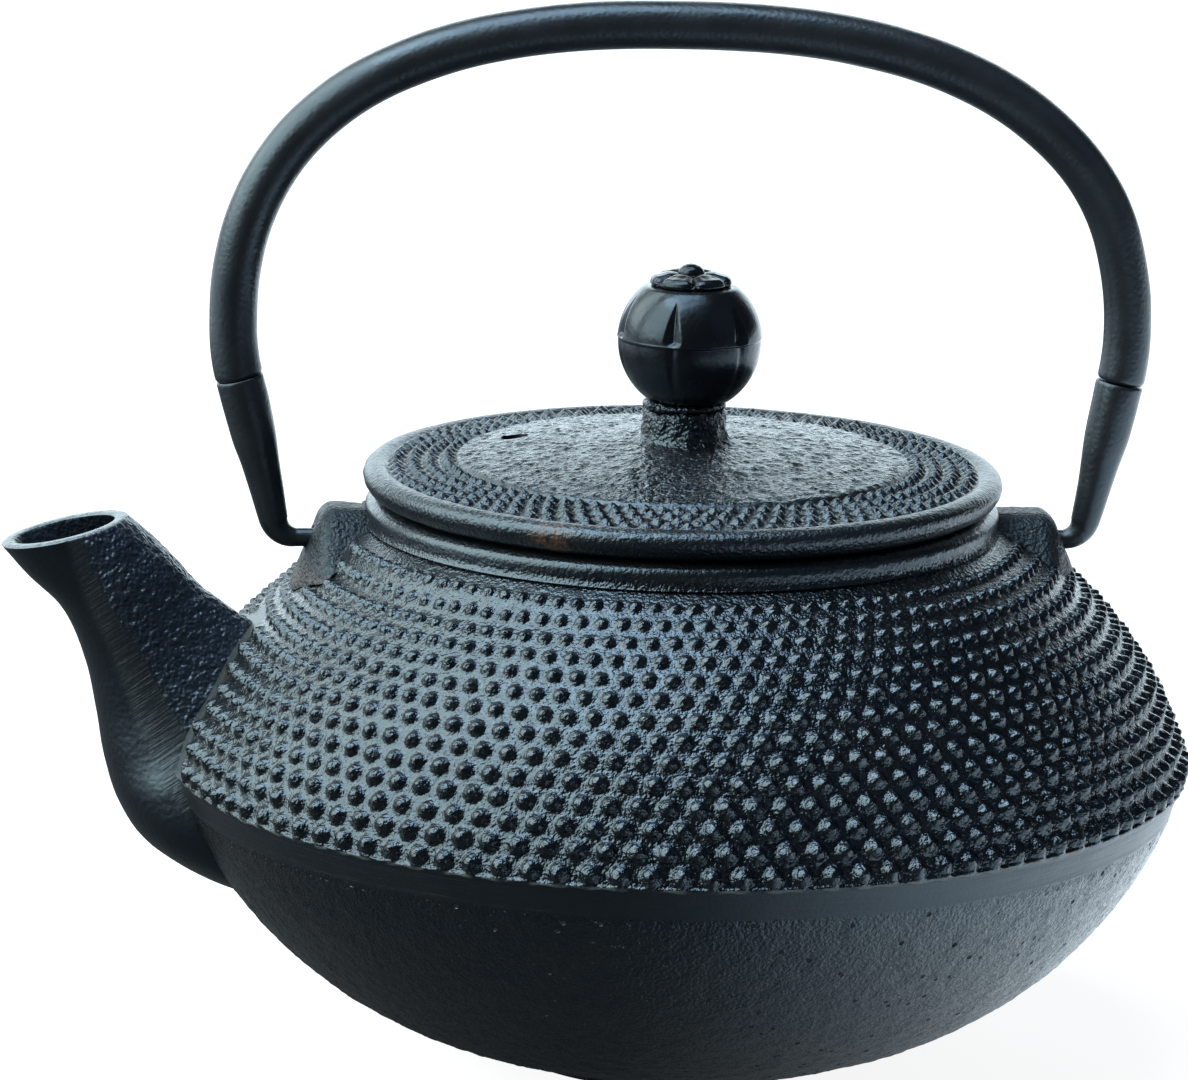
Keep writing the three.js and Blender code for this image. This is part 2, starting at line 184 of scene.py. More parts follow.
def rough(points, size, seed, octaves=3):
    """Noise summed over finer and finer cells."""
    total = np.zeros(len(points))
    for octave in range(octaves):
        total += noise(points, size / 2**octave, seed + octave) / 2**octave
    return total


def arc(centre, radius, start, end, step):
    """[r, z] points on an arc, about one step apart."""
    count = max(2, int(abs(end - start) * radius / step) + 1)
    angles = np.linspace(start, end, count)
    return np.stack([centre.r + radius * np.cos(angles), centre.z + radius * np.sin(angles)], 1)


def line(points, step):
    """[r, z] points along a polyline, about one step apart."""
    out = [points[0]]
    for a, b in zip(points, points[1:]):
        count = max(1, int(math.dist(a, b) / step))
        for i in range(1, count + 1):
            out.append((a[0] + (b[0] - a[0]) * i / count, a[1] + (b[1] - a[1]) * i / count))
    return np.array(out, float)


def evenly(path, count):
    """Points at equal distances along a path, and those distances."""
    gaps = np.linalg.norm(np.diff(path, axis=0), axis=1)
    places = np.concatenate([[0], np.cumsum(gaps)])
    even = np.linspace(0, places[-1], count)
    return np.stack([np.interp(even, places, path[:, k]) for k in (0, 1)], 1), even


def angle_at(centre, radius, z):
    return math.asin((z - centre.z) / radius)


def radius_at(centre, z):
    """How far out an arc about a centre is, at heights that it may not reach."""
    return centre.r + np.sqrt(np.clip(centre.radius**2 - (z - centre.z) ** 2, 0, None))


# ---- mesh building


def make_object(name, points, faces, groups=None, attributes=None):
    """An object from millimetre points and a list of face arrays, flipped if it is inside out."""
    mesh = bpy.data.meshes.new(name)
    loops = np.concatenate([f.ravel() for f in faces]).astype(np.int32)
    sizes = np.concatenate([np.full(len(f), f.shape[1]) for f in faces])
    starts = np.concatenate([[0], np.cumsum(sizes)[:-1]]).astype(np.int32)
    mesh.vertices.add(len(points))
    mesh.vertices.foreach_set("co", (points * MM).astype(np.float32).ravel())
    mesh.loops.add(len(loops))
    mesh.loops.foreach_set("vertex_index", loops)
    mesh.polygons.add(len(sizes))
    mesh.polygons.foreach_set("loop_start", starts)
    mesh.update(calc_edges=True)
    if groups is not None:
        mesh.polygons.foreach_set("material_index", np.concatenate(groups).astype(np.int32))
    for key, values in (attributes or {}).items():
        mesh.attributes.new(key, "FLOAT", "POINT").data.foreach_set("value", values.astype(np.float32))
    mesh.shade_smooth()
    mesh.validate()
    corners = [points[f[:, :3]] for f in faces]
    volume = sum(np.einsum("ij,ij->", c[:, 0], np.cross(c[:, 1], c[:, 2])) for c in corners)
    if volume < 0:
        mesh.flip_normals()
    return add_to_scene(name, mesh)


def add_to_scene(name, data):
    obj = bpy.data.objects.new(name, data)
    bpy.context.scene.collection.objects.link(obj)
    return obj


def revolve(name, stretches, relief=None):
    """A closed body of revolution.

    Each stretch is ([r, z] points, columns, tag). The outline starts on the axis or closes on itself.
    relief gets the grid's coordinates and returns (outward offset, attributes). The tag of a face is
    its material index.
    """
    rows = [(r, z, columns, tag) for points, columns, tag in stretches for r, z in points]
    outline = np.array([row[:2] for row in rows])
    closes = outline[0][0] > 0
    before, after = np.roll(outline, 1, 0), np.roll(outline, -1, 0)
    if not closes:
        before[0], after[-1] = outline[0], outline[-1]
    tangent = after - before
    normal = np.stack([tangent[:, 1], -tangent[:, 0]], 1)
    normal /= np.linalg.norm(normal, axis=1)[:, None]
    counts = [1 if r == 0 else columns for r, _, columns, _ in rows]
    first = np.concatenate([[0], np.cumsum(counts)])
    of_row = np.repeat(np.arange(len(rows)), counts)
    theta = np.concatenate([np.arange(n) * TAU / n for n in counts])
    tags = np.array([row[3] for row in rows])
    grid = SimpleNamespace(theta=theta, r=outline[of_row, 0], z=outline[of_row, 1], tag=tags[of_row])
    grid.points = np.stack([grid.r * np.cos(theta), grid.r * np.sin(theta), grid.z], 1)
    out, up = normal[of_row].T
    grid.normals = np.stack([out * np.cos(theta), out * np.sin(theta), up], 1)
    offset, attributes = relief(grid) if relief else (0 * theta, {})
    points = grid.points + grid.normals * offset[:, None]
    faces, groups = [], []
    pairs = [(i, i + 1) for i in range(len(rows) - 1)] + ([(len(rows) - 1, 0)] if closes else [])
    for low, high in pairs:
        strip = bridge(first[low], counts[low], first[high], counts[high])
        faces.append(strip)
        groups.append(np.full(len(strip), tags[high]))
    return make_object(name, points, faces, groups, attributes)


def bridge(low, low_count, high, high_count):
    """Faces between two rings; one ring may be a point, or have a multiple of the other's points."""
    fine = max(low_count, high_count)
    j = np.arange(fine)
    k = (j + 1) % fine
    if low_count == high_count:
        return np.stack([low + j, low + k, high + k, high + j], 1)
    if low_count == 1:
        return np.stack([np.full(fine, low), high + k, high + j], 1)
    if high_count == 1:
        return np.stack([low + j, low + k, np.full(fine, high)], 1)
    coarse = min(low_count, high_count)
    ratio = fine // coarse
    c = np.arange(coarse)
    along = [(c * ratio + i) % fine for i in range(ratio + 1)]
    if low_count > high_count:
        columns = [low + a for a in along] + [high + (c + 1) % coarse, high + c]
    else:
        columns = [low + c, low + (c + 1) % coarse] + [high + a for a in reversed(along)]
    return np.stack(columns, 1)


def loft(name, rings, closed=False, attributes=None):
    """A skin over rings of equal size. It closes on itself, or has a flat cap at each end."""
    rows, columns = rings.shape[:2]
    last = rows if closed else rows - 1
    faces = [bridge(i * columns, columns, (i + 1) % rows * columns, columns) for i in range(last)]
    if not closed:
        faces.append(np.arange(columns)[None, ::-1])
        faces.append((rows - 1) * columns + np.arange(columns)[None, :])
    return make_object(name, rings.reshape(-1, 3), faces, attributes=attributes)


def cut(obj, *tools):
    """Takes the tools away from the object and removes them."""
    for tool in tools:
        modifier = obj.modifiers.new("cut", "BOOLEAN")
        modifier.solver = "MANIFOLD"
        modifier.operation = "DIFFERENCE"
        modifier.object = tool
    bpy.context.view_layer.update()
    graph = bpy.context.evaluated_depsgraph_get()
    mesh = bpy.data.meshes.new_from_object(obj.evaluated_get(graph))
    obj.modifiers.clear()
    obj.data = mesh
    for tool in tools:
        bpy.data.objects.remove(tool)
    obj.data.shade_smooth()
    obj.data.set_sharp_from_angle(angle=math.radians(50))


def pillar(centre, axis, radius, length, squash=1.0, columns=64):
    """A cylinder that cuts a hole. Its second radius is squash times the first."""
    angle = np.arange(columns) * TAU / columns
    axis = Vector(axis).normalized()
    side = Vector((0, 0, 1)) if abs(axis.x) > 0.9 else axis.orthogonal().normalized()
    other = axis.cross(side)
    ring = np.outer(np.cos(angle) * radius, side) + np.outer(np.sin(angle) * radius * squash, other)
    half = np.array(axis) * length / 2
    return loft("tool", np.stack([ring + (centre - half), ring + (centre + half)]))


# ---- material nodes


class Graph:
    """The shader nodes of a material or a world."""

    def __init__(self, tree):
        self.nodes, self.links = tree.nodes, tree.links

    def node(self, kind, inputs, **settings):
        """A new node, with its inputs given as values or as other nodes' sockets."""
        node = self.nodes.new("ShaderNode" + kind)
        for key, value in settings.items():
            setattr(node, key, value)
        for key, value in inputs.items():
            if isinstance(value, bpy.types.NodeSocket):
                self.links.new(value, node.inputs[key])
            else:
                node.inputs[key].default_value = value
        return node

    def ramp(self, source, low, high, to_low=0.0, to_high=1.0):
        """A smooth step from one value to another."""
        inputs = {"Value": source, "From Min": low, "From Max": high, "To Min": to_low, "To Max": to_high}
        return self.node("MapRange", inputs, interpolation_type="SMOOTHSTEP").outputs["Result"]

    def math(self, operation, a, b):
        return self.node("Math", {0: a, 1: b}, operation=operation).outputs["Value"]

    def times(self, a, b):
        return self.math("MULTIPLY", a, b)

    def show(self, kind, lighting, seen):
        """The camera sees one shader, and the object is lit by the other."""
        by_camera = self.node("LightPath", {}).outputs["Is Camera Ray"]
        both = self.node("MixShader", {"Fac": by_camera, 1: lighting, 2: seen})
        self.node("Output" + kind, {"Surface": both.outputs[0]})


class Look(Graph):
    """A node material with one Principled shader. Sizes are in millimetres."""

    def __init__(self, name, colour, roughness, metallic=0.0):
        self.material = bpy.data.materials.new(name)
        self.material.use_nodes = True
        super().__init__(self.material.node_tree)
        self.shader = self.nodes["Principled BSDF"]
        self.set("Base Color", (*colour, 1))
        self.set("Roughness", roughness)
        self.set("Metallic", metallic)
        self.bump = None
        self.place = self.node("TexCoord", {}).outputs["Object"]

    def set(self, socket, value):
        self.shader.inputs[socket].default_value = value

    def plug(self, socket, source):
        self.links.new(source, self.shader.inputs[socket])

    def reflect(self, level):
        """How strongly the coating reflects."""
        self.set("Specular Tint", BLUISH)
        self.set("Specular IOR Level", level)

    def stretched(self, scale, turn=(0, 0, 0)):
        """Coordinates that are turned first and scaled after."""
        turned = self.node("Mapping", {"Rotation": turn, "Vector": self.place})
        scaled = self.node("Mapping", {"Scale": scale, "Vector": turned.outputs["Vector"]})
        return scaled.outputs["Vector"]

    def noise(self, size, detail=3.0, roughness=0.55, distortion=0.0, place=None):
        inputs = {"Scale": 1 / (size * MM), "Detail": detail, "Roughness": roughness}
        inputs.update({"Distortion": distortion, "Vector": place or self.place})
        return self.node("TexNoise", inputs).outputs["Fac"]

    def uneven(self, size, low, high, detail=4):
        """A value that wanders from low to high."""
        return self.ramp(self.noise(size, detail), 0.3, 0.7, low, high)

    def pits(self, size):
        return self.node("TexVoronoi", {"Scale": 1 / (size * MM), "Vector": self.place}).outputs["Distance"]

    def attribute(self, name):
        return self.node("Attribute", {}, attribute_name=name).outputs["Fac"]

    def mix(self, factor, a, b):
        """Blends two colours, each a tuple or a socket."""
        a, b = ((*c, 1) if isinstance(c, tuple) else c for c in (a, b))
        return self.node("Mix", {0: factor, 6: a, 7: b}, data_type="RGBA").outputs[2]

    def blend(self, factor, a, b):
        """Blends two numbers, each a number or a socket."""
        return self.node("Mix", {0: factor, 2: a, 3: b}, data_type="FLOAT").outputs[0]

    def raise_by(self, height, depth, strength=1.0):
        """Adds a bump of a depth in millimetres. strength is a number or a socket."""
        inputs = {"Height": height, "Distance": depth * MM, "Strength": strength}
        if self.bump:
            inputs["Normal"] = self.bump
        self.bump = self.node("Bump", inputs).outputs["Normal"]
        self.plug("Normal", self.bump)

    def grain(self, size, depth, strength=1.0):
        """A bump of fine crisp grain."""
        self.raise_by(self.noise(size, 1, 0.5), depth, strength)


IRON = (0.0015, 0.0018, 0.0028)
IRON_WARM = (0.0036, 0.0032, 0.0032)
# pale ground or worn metal; on the lip under the lowest studs it is also a painted highlight
IRON_PALE = (0.07, 0.078, 0.074)
# the spout's rough rear: its lighter bluish tone is partly the casting's own, partly painted light standing
# in for the light it reflects
IRON_ROUGH_AND_PAINTED_LIGHT = (0.009, 0.012, 0.02)
IRON_BRUSHED = (0.0085, 0.0082, 0.0085)
IRON_GROUND = (0.09, 0.095, 0.095)
RUST = (0.075, 0.034, 0.016)
ZINC_DARK = (0.42, 0.43, 0.44)
ZINC_PALE = (0.58, 0.57, 0.54)
BLUISH = (0.66, 0.84, 1.0, 1)  # tint of the coating's reflections


def coated_iron(look, size, level=0.7):
    """The coating's colour: faint warm patches, pale places (worn or ground metal, and partly a painted
    highlight on the lip under the lowest studs) and rust where attributes say so.
    """
    patches = look.ramp(look.noise(size, 3), 0.42, 0.66)
    colour = look.mix(patches, IRON, IRON_WARM)
    colour = look.mix(look.attribute("pale"), colour, IRON_PALE)
    rust = look.times(look.attribute("rust"), look.ramp(look.noise(1.4, 4), 0.35, 0.62))
    look.plug("Base Color", look.mix(rust, colour, RUST))
    look.reflect(level)


def iron_outside():
    """Satin black coating over sand-cast iron."""
    look = Look("cast_iron_outside", IRON, 0.38)
    coated_iron(look, 9)
    pits = look.ramp(look.pits(2.3), 0.10, 0.20, 1.0, 0.0)
    few = look.ramp(look.noise(4, 2), 0.44, 0.54)
    pitted = look.times(look.attribute("pitted"), look.times(few, pits))
    grain = look.attribute("grain")
    base = look.blend(grain, 0.42, look.uneven(1.1, 0.18, 0.32))
    base = look.blend(look.attribute("pale"), base, 0.5)
    look.plug("Roughness", look.blend(pitted, base, 0.95))
    look.grain(1.2, 0.08, grain)
    look.grain(0.5, 0.22, grain)
    scratches = look.noise(1.0, 2, 0.5, 0.2, look.stretched((0.12, 0.12, 2.4)))
    look.raise_by(scratches, 0.12, look.attribute("ground"))
    look.raise_by(look.math("SUBTRACT", 1.0, pitted), 0.3)
    return look.material


def enamel_lining():
    look = Look("enamel_lining", (0.012, 0.012, 0.013), 0.22)
    look.plug("Roughness", look.uneven(6, 0.18, 0.3, 3))
    look.raise_by(look.noise(2.2, 3), 0.05, 0.6)
    return look.material


def lid_iron():
    """The lid's casting: wavy on the disc, orange peel on the rim."""
    look = Look("cast_iron_lid", IRON, 0.42)
    coated_iron(look, 6)
    grain = look.attribute("grain")
    look.plug("Roughness", look.blend(grain, 0.39, look.uneven(0.9, 0.22, 0.36)))
    look.grain(1.1, 0.14, grain)
    look.grain(0.5, 0.4, grain)
    return look.material


def lug_iron():
    """The lugs' casting: rougher and duller than the kettle."""
    look = Look("cast_iron_lug", IRON, 0.5)
    coated_iron(look, 6, 0.5)
    look.plug("Roughness", look.uneven(0.9, 0.42, 0.6))
    look.grain(1.1, 0.12)
    look.grain(0.5, 0.3)
    return look.material


def spout_iron():
    """Smooth at the front, brushed along a slanting strip, rough as cast at the rear."""
    look = Look("cast_iron_spout", IRON, 0.4)
    look.reflect(0.7)
    cast, brushed, rim = (look.attribute(name) for name in ("cast", "brushed", "rim"))
    # painted light: the rear's lighter bluish colour partly stands in for reflected light there
    colour = look.mix(brushed, look.mix(cast, IRON, IRON_ROUGH_AND_PAINTED_LIGHT), IRON_BRUSHED)
    look.plug("Base Color", look.mix(rim, colour, IRON_GROUND))
    matte = look.blend(cast, 0.33, look.uneven(1.0, 0.32, 0.46))
    matte = look.blend(brushed, matte, 0.46)
    look.plug("Roughness", look.blend(rim, matte, 0.4))
    look.grain(1.0, 0.5, cast)
    look.raise_by(look.noise(0.5, 0.5, 0.4), 0.12, cast)
    along_strip = look.stretched((0.15, 0.5, 2.6), (0, math.radians(35), 0))
    look.raise_by(look.noise(1.0, 2, 0.5, 0.1, along_strip), 0.12, brushed)
    look.raise_by(look.noise(0.7, 0.5), 0.06)
    return look.material


def satin_paint():
    look = Look("satin_black_paint", (0.0105, 0.0108, 0.0125), 0.34)
    look.reflect(0.6)
    look.plug("Roughness", look.uneven(5, 0.29, 0.4))
    look.raise_by(look.noise(0.6, 0.5), 0.045)
    look.raise_by(look.noise(3.5, 1), 0.05, 0.5)
    return look.material


def gloss_paint():
    look = Look("gloss_black_paint", (0.004, 0.0042, 0.0055), 0.25)
    look.reflect(0.42)
    look.plug("Roughness", look.uneven(3, 0.21, 0.3))
    look.raise_by(look.noise(0.7, 0.5), 0.03)
    look.raise_by(look.noise(1.8, 1), 0.06, 0.5)
    return look.material


def stainless_steel():
    look = Look("stainless_steel", (0.58, 0.58, 0.57), 0.3, 1.0)
    brushed = look.noise(1.0, 4, 0.6, 0.0, look.stretched((0.08, 0.08, 8.0)))
    look.plug("Roughness", look.ramp(brushed, 0.3, 0.7, 0.26, 0.34))
    look.raise_by(brushed, 0.004)
    return look.material


def zinc_plate():
    look = Look("zinc_plate", (0.5, 0.5, 0.49), 0.34, 1.0)
    look.plug("Base Color", look.mix(look.ramp(look.noise(1.5, 4), 0.35, 0.65), ZINC_DARK, ZINC_PALE))
    look.plug("Roughness", look.uneven(0.8, 0.26, 0.45))
    look.raise_by(look.noise(0.5, 3), 0.01)
    return look.material


# ---- kettle body

ARC_START = angle_at(DOME, DOME.radius, SHOULDER_Z)
ARC_END = math.acos((NECK_R - DOME.r) / DOME.radius)
NECK_FOOT = DOME.z + DOME.radius * math.sin(ARC_END)
OUTSIDE, LINING = 0, 1


def outside_outline(inset, step):
    """The kettle's outside from the base centre to the neck's top, moved inwards by an inset."""
    bowl_start = -math.acos((BASE_R + 3 - BOWL.r) / BOWL.radius)
    bowl_end = angle_at(BOWL, BOWL.radius, BAND_BOTTOM)
    base = line([(0, inset), (BASE_R - inset, inset), (BASE_R + BASE_EDGE - inset, BASE_EDGE)], 3.0)
    bowl = arc(BOWL, BOWL.radius - inset, bowl_start, bowl_end, step)
    dome = arc(DOME, DOME.radius - inset, ARC_START, ARC_END, step)
    neck = line([(NECK_R - inset, NECK_FOOT + 1.0), (NECK_R - inset, NECK_TOP - inset)], 1.0)
    return base, bowl, dome, neck


def inside_of_wall():
    """A solid that ends halfway through the kettle's wall: spout and lugs are trimmed by it."""
    halfway = WALL / 2
    outline = np.concatenate(outside_outline(halfway, 2.0))
    top = np.array([(0, NECK_TOP - halfway)])
    return revolve("tool", [(outline, 180, 0), (top, 180, 0)])


def nearest_stud(field, row, theta, r):
    """The signed distance along a row to the nearest stud, and a value for each stud by seed."""
    pitch = TAU / field.around
    phase = field.phase + 0.5 * pitch * (row % 2)
    column = np.rint((theta - phase) / pitch)
    name = np.mod(column, field.around)

    def scatter(seed):
        return lattice(np.stack([row, name, 0 * row], -1), seed)

    return r * (theta - phase - column * pitch), scatter


def kettle_studs(theta, angle, r):
    """Stud height over the dome at an angle round the pot and an angle on the dome's arc."""
    row = np.clip(np.rint((angle - STUDS.first) / STUDS.step), 0, STUDS.rows - 1)
    across, scatter = nearest_stud(STUDS, row, theta, r)
    share = row / (STUDS.rows - 1)
    u = across + 0.07 * scatter(11)
    v = DOME.radius * (angle - STUDS.first - row * STUDS.step) + 0.07 * scatter(12)
    radius = between(STUDS.radius, share) * (1 + 0.05 * scatter(13))
    v = np.where((row == 0) & (v < 0), 0.8 * v, v)
    height = between(STUDS.height, share) * (1 + 0.10 * scatter(14))
    t = np.hypot(u, v) / radius
    dome, cone = np.clip(1 - t * t, 0, 1) ** 0.72, np.clip(1 - t, 0, 1)
    return height * (0.5 * dome + 0.5 * cone)


def near_spout(points, margin_low, margin_high):
    """1 inside the spout's root, falling to 0 between two margins outside it."""
    x, y, z = points.T
    heights = [20.0, 24.0, 28.0, 33.6, 38.0, 42.0, 44.6, 47.0, 51.0, 54.0, 58.0, 59.6]
    half_widths = [0.0, 9.0, 11.5, 15.4, 15.0, 12.4, 9.8, 8.6, 7.4, 6.6, 5.1, 0.0]
    beside = np.abs(y) - np.interp(z, heights, half_widths)
    above = np.maximum(z - heights[-1], 22.0 - z)
    return (1 - smooth(margin_low, margin_high, np.maximum(beside, above))) * (x < 0)


def near_lug(points, margin):
    _, y, z = points.T
    return 1 - smooth(0.0, margin, np.maximum(np.abs(y) - LUG.half_width, 65.0 - z))


def spout_distance(points):
    """How far points near the spout are from the part of its skin that is outside the kettle."""
    t = np.linspace(0.4, 1, 160)
    skin = spout_rings(t, 0 * t)[0].reshape(-1, 3)
    z = skin[:, 2]
    shell_r = np.where(z > SHOULDER_Z, radius_at(DOME, z), radius_at(BOWL, z))
    skin = skin[np.hypot(skin[:, 0], skin[:, 1]) > shell_r - 0.3]
    tree = KDTree(len(skin))
    for i, place in enumerate(skin):
        tree.insert(place, i)
    tree.balance()
    distance = np.full(len(points), 99.0)
    for i in np.flatnonzero((points[:, 0] < -35.0) & (np.abs(points[:, 1]) < 26.0)):
        distance[i] = tree.find(points[i])[2]
    return distance


def rust_near_spout(points):
    spots = [(-58.0, -8.0, 59.0, 3.5), (-62.5, -10.5, 54.0, 3.0), (-48.5, -8.0, 67.5, 3.0)]
    total = np.zeros(len(points))
    for x, y, z, size in spots:
        away = np.linalg.norm(points - np.array([x, y, z]), axis=1)
        total = np.maximum(total, 1 - smooth(0.2 * size, size, away))
    return total


def kettle_relief(grid):
    points, z = grid.points, grid.z
    outer = grid.tag == OUTSIDE
    angle = np.arctan2(z - DOME.z, grid.r - DOME.r)
    on_dome = outer & (z >= SHOULDER_Z - 0.01) & (angle < ARC_END + 0.01)
    in_band = outer & (z < SHOULDER_Z) & (z > BAND_BOTTOM - 0.6)
    below = outer & (z < BAND_BOTTOM)
    on_neck = outer & (z > NECK_FOOT + 0.3)
    from_spout = spout_distance(points)
    off_spout = 1 - near_spout(points, -1.0, 0.5)
    grain = rough(points, 1.3, 21)

    # studs, which fade out beside the spout and the front lug, with ragged tips
    clear = smooth(CLEAR_STRIP, CLEAR_STRIP + 1.1, from_spout) * off_spout
    clear = clear * (1 - 0.4 * near_lug(points, 6.0) * (points[:, 0] < 0))
    studs = kettle_studs(grid.theta, angle, grid.r) * clear
    tip = np.clip(studs / 0.8, 0, 1) ** 2
    ragged = (0.05 + 0.08 * (1 - smooth(44.0, 56.0, z))) * noise(points, 0.75, 26) * tip
    offset = on_dome * (studs + grain * 0.04 + ragged)

    # the upper shell isn't quite round: it leans in beside the spout and out at the back
    lean = np.cos(grid.theta)
    upper = smooth(46.0, 54.0, z) * (1 - smooth(70.5, 73.5, z))
    front_lean = 0.9 + 0.9 * smooth(57.0, 65.0, z)
    offset += on_dome * np.where(lean > 0, 0.25, front_lean) * lean * upper

    # a ledge and a scalloped hem under the lowest studs
    above = DOME.radius * (angle - ARC_START)
    offset += on_dome * 0.24 * (1 - smooth(0.18, 0.42, above)) * off_spout
    depth = SHOULDER_Z - z
    columns = 0.5 + 0.5 * np.cos(STUDS.around * (grid.theta - STUDS.phase))
    hem = 1 - smooth(0.05, 0.3, depth - 0.25 * columns)
    offset += in_band * 0.3 * hem * off_spout
    scallops = np.clip(studs - (0.14 + 0.5 * depth), 0, None) * (depth < 1.2)
    offset += in_band * np.minimum(scallops, 0.3)

    # ground band, bowl, neck and lining
    lathe = noise(points * (0, 0, 1), 0.5, 41)
    offset += in_band * (0.03 * lathe + 0.04 * noise(points, 4.0, 42) - 0.12)
    offset += below * (z > 1.2) * (0.10 * grain + 0.06 * noise(points, 5.0, 31))
    offset += on_neck * (0.025 * grain + 0.03 * noise(points, 6.0, 51))
    offset += ~outer * 0.04 * noise(points, 5.0, 61)

    strip = (1 - smooth(CLEAR_STRIP, CLEAR_STRIP + 0.8, from_spout)) * on_dome
    # painted highlight: the lip under the lowest studs is paled, partly bare metal worn at the ground edge,
    # partly standing in for the bright line of light along it
    lip = in_band & (z > SHOULDER_Z - 0.3) | on_dome & (z < SHOULDER_Z + 0.12)
    worn_and_painted_highlight = lip * smooth(-0.2, 0.5, noise(points, 1.5, 27) + 0.3)
    grainy = np.select([on_dome, on_neck, below, in_band], [1.0, 0.55, 1.3, 0.15], 0.1)
    attributes = {
        "ground": in_band.astype(float),
        "grain": grainy * (1 - 0.6 * strip),
        "pale": np.maximum(strip * 0.35, worn_and_painted_highlight),
        "rust": rust_near_spout(points),
        "pitted": below * smooth(-0.35, 0.5, np.cos(grid.theta + 0.6)),
    }
    return offset, attributes


def kettle_body():
    base, bowl, dome, _ = outside_outline(0.0, 0.3)
    bowl = bowl[::2]
    foot = bowl[-1] + (0.05, 0.35)
    lower_edge = foot + (np.array([SHOULDER_R, SHOULDER_Z]) - foot) * 0.72
    band = line([tuple(foot), tuple(lower_edge)], 0.4)
    edge = line([tuple(lower_edge + (0.004, 0.12)), (SHOULDER_R, SHOULDER_Z - 0.08)], 0.12)
    first_rows = ARC_START + 4 / DOME.radius * 0.15  # finely divided, for the ledge under the studs
    low_dome = arc(DOME, DOME.radius, ARC_START, first_rows, 0.15)[:-1]
    dome = np.vstack([low_dome, arc(DOME, DOME.radius, first_rows, ARC_END, 0.28)])
    neck = [(NECK_R + 0.35, NECK_FOOT + 0.25), (NECK_R, NECK_FOOT + 0.8), (NECK_R, NECK_TOP - 1.2)]
    neck += [(NECK_R - 0.3, NECK_TOP - 0.6), (NECK_R - 1.3, NECK_TOP)]
    mouth = [(MOUTH_R + 0.6, NECK_TOP), (MOUTH_R + 0.15, NECK_TOP - 0.2), (MOUTH_R, NECK_TOP - 0.7)]
    mouth += [(MOUTH_R, LEDGE_TOP + 0.4), (MOUTH_R - 0.4, LEDGE_TOP), (THROAT_R + 0.4, LEDGE_TOP)]
    mouth += [(THROAT_R, LEDGE_TOP - 0.4), (THROAT_R, LEDGE_BOTTOM + 0.3)]
    dome_inner, bowl_inner = DOME.radius - WALL, BOWL.radius - WALL
    throat, waist = (angle_at(DOME, dome_inner, z) for z in (LEDGE_BOTTOM, SHOULDER_Z))
    upper = arc(DOME, dome_inner, throat, waist, 2.0)
    lower = arc(BOWL, bowl_inner, angle_at(BOWL, bowl_inner, SHOULDER_Z - 2), -math.pi / 2, 2.0)
    bottom = line([(BOWL.r, BOWL.z - bowl_inner), (0, BOWL.z - bowl_inner)], 4.0)[1:]
    band, neck = np.vstack([band, edge]), line(neck, 0.35)
    outside = [(base, 336), (bowl, 672), (band, 1344), (dome, 1344), (neck, 672)]
    inside = [line(mouth, 1.0), upper, lower, bottom]
    stretches = [(*stretch, OUTSIDE) for stretch in outside] + [(points, 336, LINING) for points in inside]
    body = revolve("kettle_casting", stretches, kettle_relief)
    cut(body, pillar((-62, 0, PORT.z), (1, 0, 0), PORT.half_height, 30, PORT.half_width / PORT.half_height))
    return body


# ---- spout

# front x and z, rear x and z, and half-width of each section, from the mouth to the root
SPOUT_SECTIONS = [
    (-94.0, 71.3, -76.6, 75.4, 8.0),
    (-90.4, 67.2, -73.4, 72.4, 8.0),
    (-86.4, 63.4, -70.0, 69.1, 8.0),
    (-84.1, 59.5, -66.8, 65.5, 7.8),
    (-82.2, 54.0, -62.2, 62.0, 7.6),
    (-80.95, 47.8, -56.2, 58.0, 8.1),
    (-79.9, 41.3, -51.5, 54.0, 9.5),
    (-77.9, 35.1, -49.0, 49.5, 12.0),
    (-74.1, 29.8, -48.0, 43.0, 13.4),
    (-67.0, 25.3, -48.0, 36.0, 13.0),
    (-60.0, 22.6, -48.0, 31.0, 11.5),
]
SPOUT_EGG = (0.0, 0.42)  # how much narrower the rear is, at the mouth and at the root
SPOUT_STEPS = 240
SPOUT_COLUMNS = 192
SPOUT_WALL = (1.9, 3.0)  # at the mouth, at the root


def through(values, t):
    """Catmull-Rom curve through rows of values, with t from 0 to 1."""
    values = np.array(values, float)
    first = 2 * values[0] - values[1]
    last = 2 * values[-1] - values[-2]
    padded = np.vstack([first, values, last])
    place = np.clip(t, 0, 1) * (len(values) - 1)
    i = np.minimum(place.astype(int), len(values) - 2)
    f = (place - i)[:, None]
    a, b, c, d = (padded[i + k] for k in range(4))
    return 0.5 * (2 * b + (c - a) * f + (2 * a - 5 * b + 4 * c - d) * f**2 + (3 * b - a - 3 * c + d) * f**3)


def spout_rings(t, inset):
    """Rings of the spout at values of t, with their outward directions."""
    front_x, front_z, rear_x, rear_z, half = through(SPOUT_SECTIONS, t).T
    centre = np.stack([(front_x + rear_x) / 2, 0 * t, (front_z + rear_z) / 2], 1)
    across = np.stack([rear_x - front_x, 0 * t, rear_z - front_z], 1)
    length = np.linalg.norm(across, axis=1)
    across /= length[:, None]
    angle = np.arange(SPOUT_COLUMNS) * TAU / SPOUT_COLUMNS
    along = (length / 2 - inset)[:, None] * np.cos(angle)
    egg = between(SPOUT_EGG, smooth(0.0, 0.5, t))
    rings = centre[:, None, :] + along[..., None] * across[:, None, :]
    rings[..., 1] += (half - inset)[:, None] * np.sin(angle) * (1 - egg[:, None] * np.cos(angle))
    out = np.cos(angle)[None, :, None] * across[:, None, :]
    out = out + np.sin(angle)[None, :, None] * np.array([0, 1, 0])
    return rings, out


